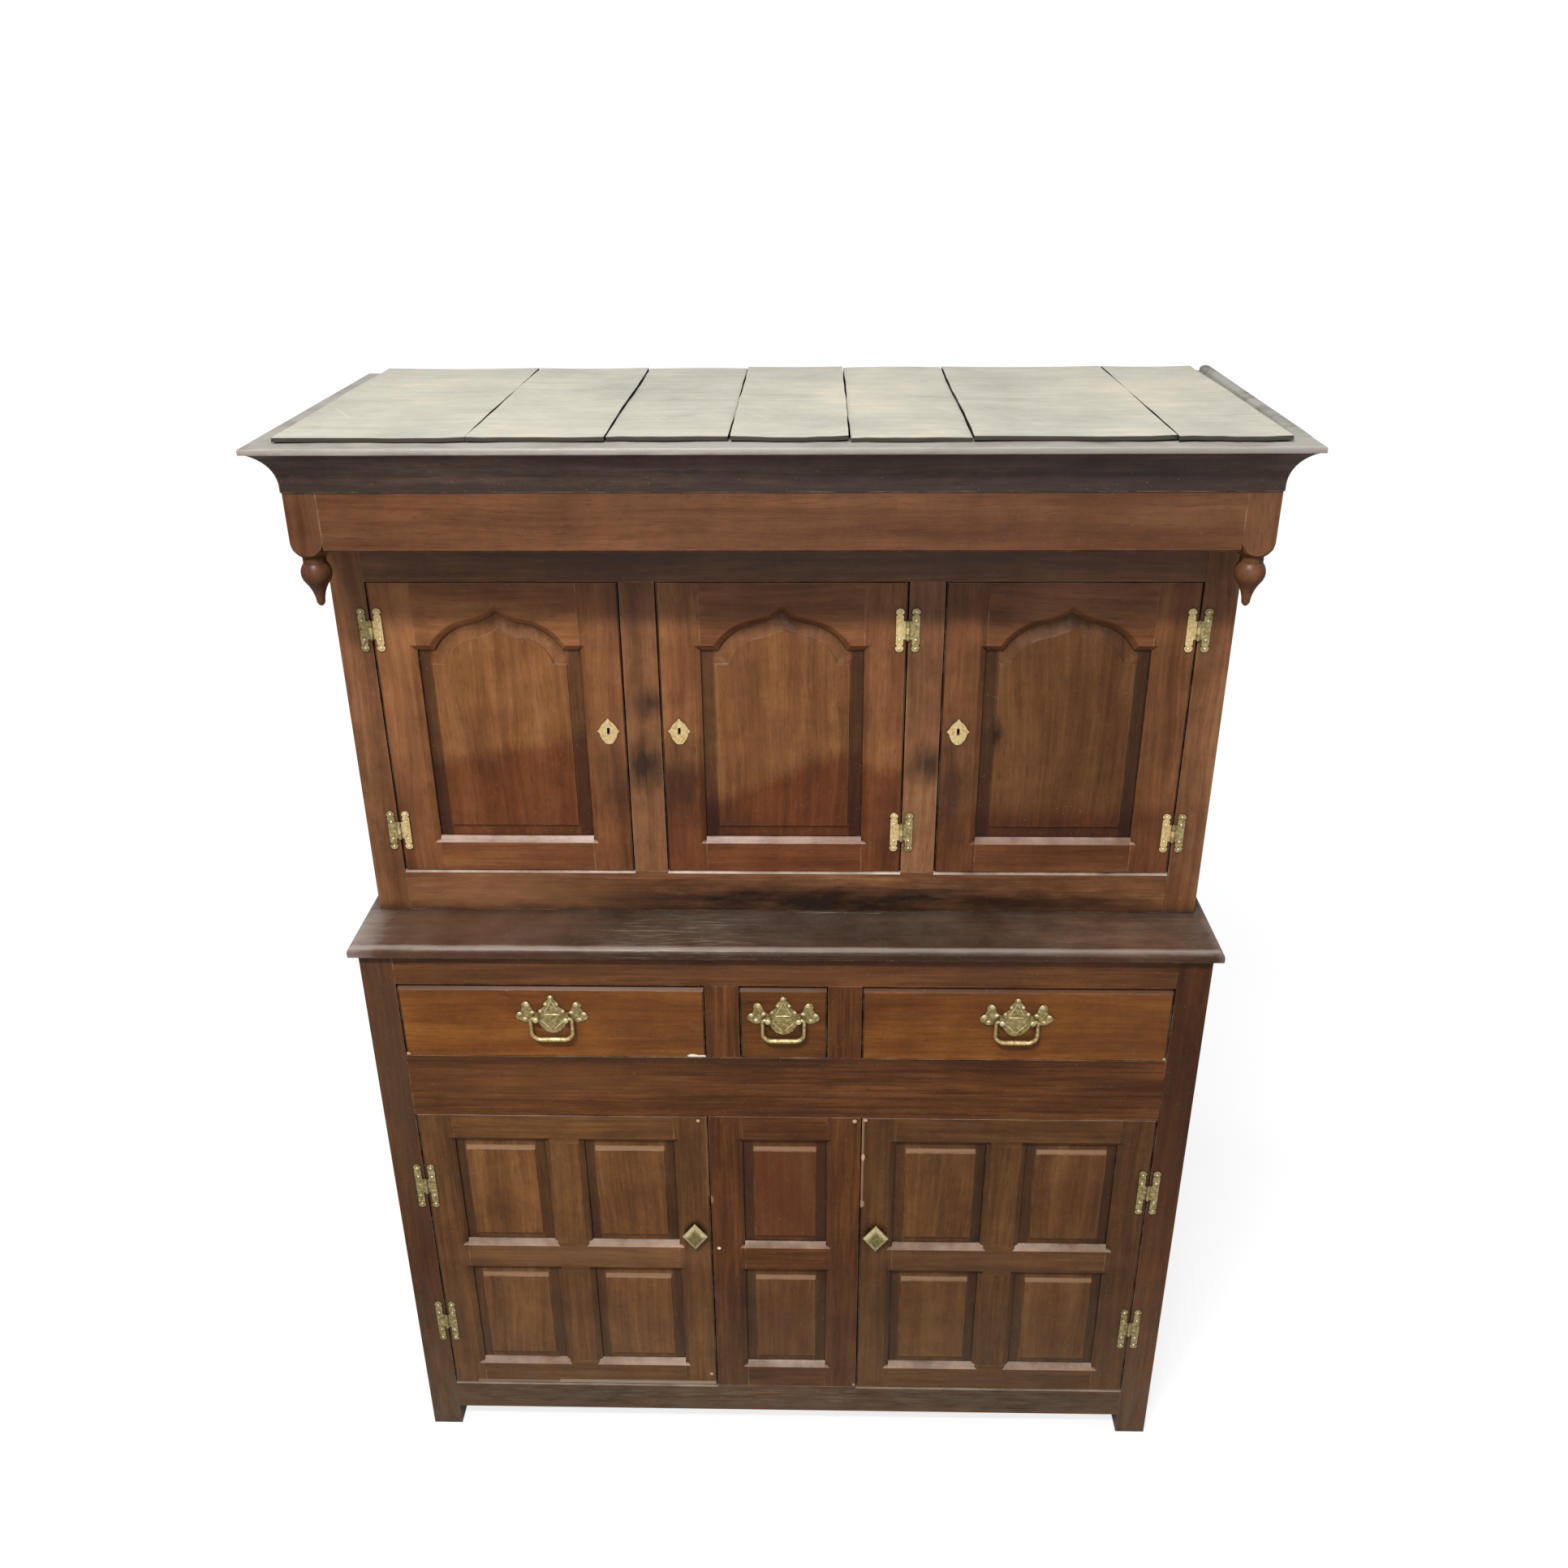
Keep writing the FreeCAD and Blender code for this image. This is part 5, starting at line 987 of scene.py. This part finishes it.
def make_bail_grip(side, material):
    """The loop of a bail, which swells from its shoulders to a thick middle."""
    low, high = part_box(f"{side}_drawer_bail")
    middle = Vector(((low.x + high.x) / 2, (low.y + high.y) / 2, low.z + BAIL_WIRE))
    half = (high.x - low.x) / 2 - BAIL_WIRE
    tall = high.z - low.z - 2 * BAIL_WIRE
    flat = half - BAIL_CORNER
    right = [Vector((flat * step / FLAT_STEPS, 0.0, 0.0)) for step in range(FLAT_STEPS)]
    for step in range(CORNER_STEPS + 1):
        angle = 0.5 * math.pi * step / CORNER_STEPS
        out = flat + BAIL_CORNER * math.sin(angle)
        right.append(Vector((out, 0.0, BAIL_CORNER * (1.0 - math.cos(angle)))))
    right.append(Vector((half, 0.0, BAIL_TOP * tall)))
    left = [Vector((-point.x, 0.0, point.z)) for point in right[:0:-1]]
    points = [middle + point for point in left + right]
    last = len(points) - 1
    shoulder, swell = BAIL_WIRE * BAIL_SHOULDER, BAIL_GRIP - BAIL_WIRE
    radii = [shoulder + swell * math.sin(math.pi * step / last) for step in range(last + 1)]
    add_mesh(f"{side}_drawer_bail_grip", swept(points, radii), material, f"{side}_drawer_handle")


def dress_metal():
    hinge_brass = brass("hinge_brass", (112, 96, 58), (168, 150, 98), (222, 206, 158))
    handle_brass = brass("handle_brass", (122, 102, 60), (184, 162, 106), (236, 218, 168))
    bright_brass = brass("bright_brass", (190, 156, 92), (232, 202, 138), (250, 234, 190), rough=0.3)
    plate_brass = brass("plate_brass", (112, 96, 56), (158, 138, 88), (208, 190, 138))
    raised = ((172, 152, 104), (212, 194, 144), (242, 230, 188))
    raised_brass = brass("raised_brass", *raised)
    knob_brass = brass("knob_brass", *raised, dark_front=True)
    nail_brass = brass("nail_brass", (206, 184, 140), (242, 226, 190), (252, 242, 216), rough=0.28)
    dark_iron = iron()
    for node in ("base_hinge_leaves", "upper_hinge_leaves", "lower_left_door_hinges",
                 "lower_right_door_hinges"):
        dress(node, hinge_brass, METAL_EDGE)
    for side in SIDES:
        door = f"upper_{side}_door"
        dress(door + "_brass", bright_brass, PLATE_EDGE)
        dress(door + "_lock_case", dark_iron, METAL_EDGE)
        dress(door + "_lock_bolt", dark_iron, METAL_EDGE)
        dress(f"{side}_drawer_plate", plate_brass, PLATE_EDGE)
        dress(f"{side}_drawer_bail", handle_brass, bevel=0.0)
    for side in ("left", "right"):
        dress(f"lower_{side}_door_knob", knob_brass, KNOB_EDGE)
    make_nails(nail_brass)
    for side in SIDES:
        make_plate_pattern(side, raised_brass)
        make_bail_grip(side, handle_brass)


# Roof boards: thin old boards, cupped and uneven, in the place of the plain ones

ROOF_WIDTHS = (0.241, 0.173, 0.154, 0.149, 0.152, 0.248)
ROOF_BOARD = 0.0052
ROOF_STEPS_X = 8
ROOF_STEPS_Y = 26
# How a board may lie: its cup and which way, its twist and how far it is set back
CUPS = (0.0011, 0.0022)
CUP_WAYS = (1.0, 1.0, -0.7)
TWIST = 0.0006
SET_BACK = 0.009
HALF_GAP = 0.001
FRONT_SPARE = 0.002
RIGHT_SHARE = 0.8
# Waves of the long edges, the front ends and the sag: size, pace and multiple of the board's own phase
EDGE_WAVES = ((0.0007, 9.0, 1.0), (0.0003, 31.0, 2.0))
END_WAVES = ((0.0022, 7.0, 1.0), (0.0011, 23.0, 3.0))
SAG_WAVES = ((0.0004, 6.0, 1.0),)


def waver(waves, place, phase):
    return sum(size * math.sin(pace * place + multiple * phase) for size, pace, multiple in waves)


def roof_board(shape, left, right, low, high):
    """Add one board to a mesh; its edges waver and it cups within the box that it may take."""
    cup = draw.uniform(*CUPS) * draw.choice(CUP_WAYS)
    twist = draw.uniform(-TWIST, TWIST)
    phase = draw.uniform(0.0, 6.0)
    start = low.y + draw.uniform(0.0, SET_BACK)
    slack = high.z - low.z - ROOF_BOARD
    rows = []
    for step_y in range(ROOF_STEPS_Y + 1):
        t = step_y / ROOF_STEPS_Y
        edge = waver(EDGE_WAVES, t, phase)
        row = []
        for step_x in range(ROOF_STEPS_X + 1):
            u = step_x / ROOF_STEPS_X
            x = left + (right - left) * u + edge * (1.0 - u) - edge * u * RIGHT_SHARE
            x += HALF_GAP * (1.0 - 2.0 * u)
            ragged = waver(END_WAVES, u, phase)
            y = start + ragged * (1.0 - t) + FRONT_SPARE + (high.y - start - FRONT_SPARE) * t
            lift = cup * (2.0 * u - 1.0) ** 2 + twist * (2.0 * t - 1.0) + waver(SAG_WAVES, t, phase)
            z = low.z + min(max(slack / 2 + lift, 0.0), slack)
            row.append((shape.verts.new((x, y, z)), shape.verts.new((x, y, z + ROOF_BOARD))))
        rows.append(row)
    close_board(shape, rows)


def close_board(shape, rows):
    """Faces over, under and round a board, from rows of pairs of points, lower and upper."""
    for near, far in zip(rows, rows[1:]):
        for a, b, c, d in zip(near, near[1:], far[1:], far):
            shape.faces.new((a[1], b[1], c[1], d[1]))
            shape.faces.new((a[0], d[0], c[0], b[0]))
    left, right = [row[0] for row in rows], [row[-1] for row in rows]
    for edge in (rows[0], rows[-1][::-1], left[::-1], right):
        for one, two in zip(edge, edge[1:]):
            shape.faces.new((one[0], two[0], two[1], one[1]))


def make_roof():
    low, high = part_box("top_boards")
    shape = bmesh.new()
    left = low.x
    for width in ROOF_WIDTHS + (high.x - low.x - sum(ROOF_WIDTHS),):
        roof_board(shape, left, left + width, low, high)
        left += width
    roof = add_mesh("roof_boards", shape, roof_oak(), "carcase")
    roof.data.set_sharp_from_angle(angle=SHARP_ANGLE)
    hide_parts("top_boards")


SPRUNG_HALF = 0.009
SPRUNG_FRONT = -0.22
SPRUNG_INSET = 0.001
SPRUNG_STEPS = 16
ARCH_STEPS = 8
# How high the strip starts, how it rises towards the back and how round it is
SPRUNG_START = 0.0008
SPRUNG_CURVE = 0.7
ARCH_CURVE = 0.6
STRIP_ANGLE = math.radians(50)


def make_sprung_strip():
    """The top strip of the right return of the cornice, which has sprung up towards its back end."""
    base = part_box("cornice")[1]
    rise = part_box("top_boards")[1].z - base.z
    middle = base.x - SPRUNG_HALF - SPRUNG_INSET
    shape = bmesh.new()
    rings = []
    for step in range(SPRUNG_STEPS + 1):
        t = step / SPRUNG_STEPS
        y = SPRUNG_FRONT + (base.y - SPRUNG_FRONT) * t
        height = SPRUNG_START + (rise - SPRUNG_START) * t ** SPRUNG_CURVE
        ring = []
        for turn in range(ARCH_STEPS + 1):
            angle = math.pi * turn / ARCH_STEPS
            across = SPRUNG_HALF * math.cos(angle)
            z = base.z + height * math.sin(angle) ** ARCH_CURVE
            ring.append(shape.verts.new((middle + across, y, z)))
        rings.append(ring)
    close_rings(shape, rings)
    dusty_oak = oak("oak_strip", "cornice", "Y", dust=2.0, dust_tint=STRIP_DUST, dust_from=-0.6)
    strip = add_mesh("sprung_cornice_strip", shape, dusty_oak, "carcase")
    strip.data.set_sharp_from_angle(angle=STRIP_ANGLE)


# Floor, lights and background

FLOOR_SIZE = 60.0
FLOOR_TONES = [(0.0, (0.22, 0.22, 0.22, 1.0)), (1.0, (0.24, 0.24, 0.24, 1.0))]
# Glow of the floor: two distances from the middle, and the strength at each
FLOOR_GLOW = (1.0, 3.2, 0.8, 0.95)
MIRRORED_SHARE = 0.15
WHITE = (1.0, 1.0, 1.0, 1.0)
SKY_TINT = (0.95, 0.98, 1.05, 1.0)
SKY_STRENGTH = 0.38
# Area lights: name, place, aim, size, power and, if not white, colour
LAMPS = (
    ("key", (-0.9, -3.0, 4.85), (0.0, -0.1, 1.1), (1.2, 0.36), 235.0, (1.0, 0.975, 0.94)),
    ("overhead", (0.0, -0.6, 4.8), (0.0, 0.0, 1.0), (3.0, 1.6), 40.0),
    ("front_fill", (0.3, -4.6, 1.9), (0.0, 0.0, 0.9), (3.0, 2.0), 34.0),
    ("left_fill", (-3.4, -2.2, 2.2), (0.0, 0.0, 0.9), (1.8, 2.2), 10.0),
    ("right_fill", (3.4, -2.2, 2.2), (0.0, 0.0, 0.9), (1.8, 2.2), 8.0),
)


def background_rays(g):
    """One for what the camera sees, less for rays mirrored or let through, so dark wax stays dark."""
    rays = g.add("ShaderNodeLightPath")
    mirrored = g.math("MAXIMUM", rays.outputs["Is Glossy Ray"], rays.outputs["Is Transmission Ray"])
    return g.math("MAXIMUM", rays.outputs["Is Camera Ray"], g.times(mirrored, MIRRORED_SHARE))


def make_stage():
    bpy.ops.mesh.primitive_plane_add(size=FLOOR_SIZE, location=(0.0, 0.0, 0.0))
    floor = bpy.context.object
    floor.name = "studio_floor"
    material, g, shader = new_material("studio_floor")
    place = g.place()
    colour = g.ramp(g.noise(place, scale=0.7), FLOOR_TONES)
    g.wire(shader, {"Base Color": colour, "Roughness": 1.0, "Specular IOR Level": 0.0})
    span = g.add("ShaderNodeVectorMath", place, operation="LENGTH")
    bright = g.spread(span.outputs["Value"], *FLOOR_GLOW)
    glow = g.add("ShaderNodeEmission")
    g.feed(glow.inputs["Strength"], g.times(background_rays(g), bright))
    both = g.add("ShaderNodeAddShader", shader.outputs[0], glow.outputs[0])
    g.feed(g.tree.nodes["Material Output"].inputs["Surface"], both.outputs[0])
    floor.data.materials.append(material)


def area_light(name, place, aim, size, power, colour=WHITE[:3]):
    data = bpy.data.lights.new(name, "AREA")
    data.shape = "RECTANGLE"
    data.size, data.size_y = size
    data.energy = power
    data.color = colour
    lamp = bpy.data.objects.new(name, data)
    lamp.location = place
    lamp.rotation_euler = (Vector(aim) - Vector(place)).to_track_quat("-Z", "Y").to_euler()
    scene.collection.objects.link(lamp)


def make_light():
    for lamp in LAMPS:
        area_light(*lamp)
    world = bpy.data.worlds.new("studio")
    scene.world = world
    world.use_nodes = True
    g = Graph(world.node_tree)
    seen = background_rays(g)
    strength = g.spread(seen, 0.0, 1.0, SKY_STRENGTH)
    g.wire(g.tree.nodes["Background"], {"Color": g.mix(seen, SKY_TINT, WHITE), "Strength": strength})
    scene.view_settings.view_transform = "Standard"


make_camera()
dress_base()
dress_inside()
dress_upper_part()
dress_upper_doors()
dress_lower_doors()
dress_drawers()
dress_metal()
make_roof()
make_sprung_strip()
make_stage()
make_light()
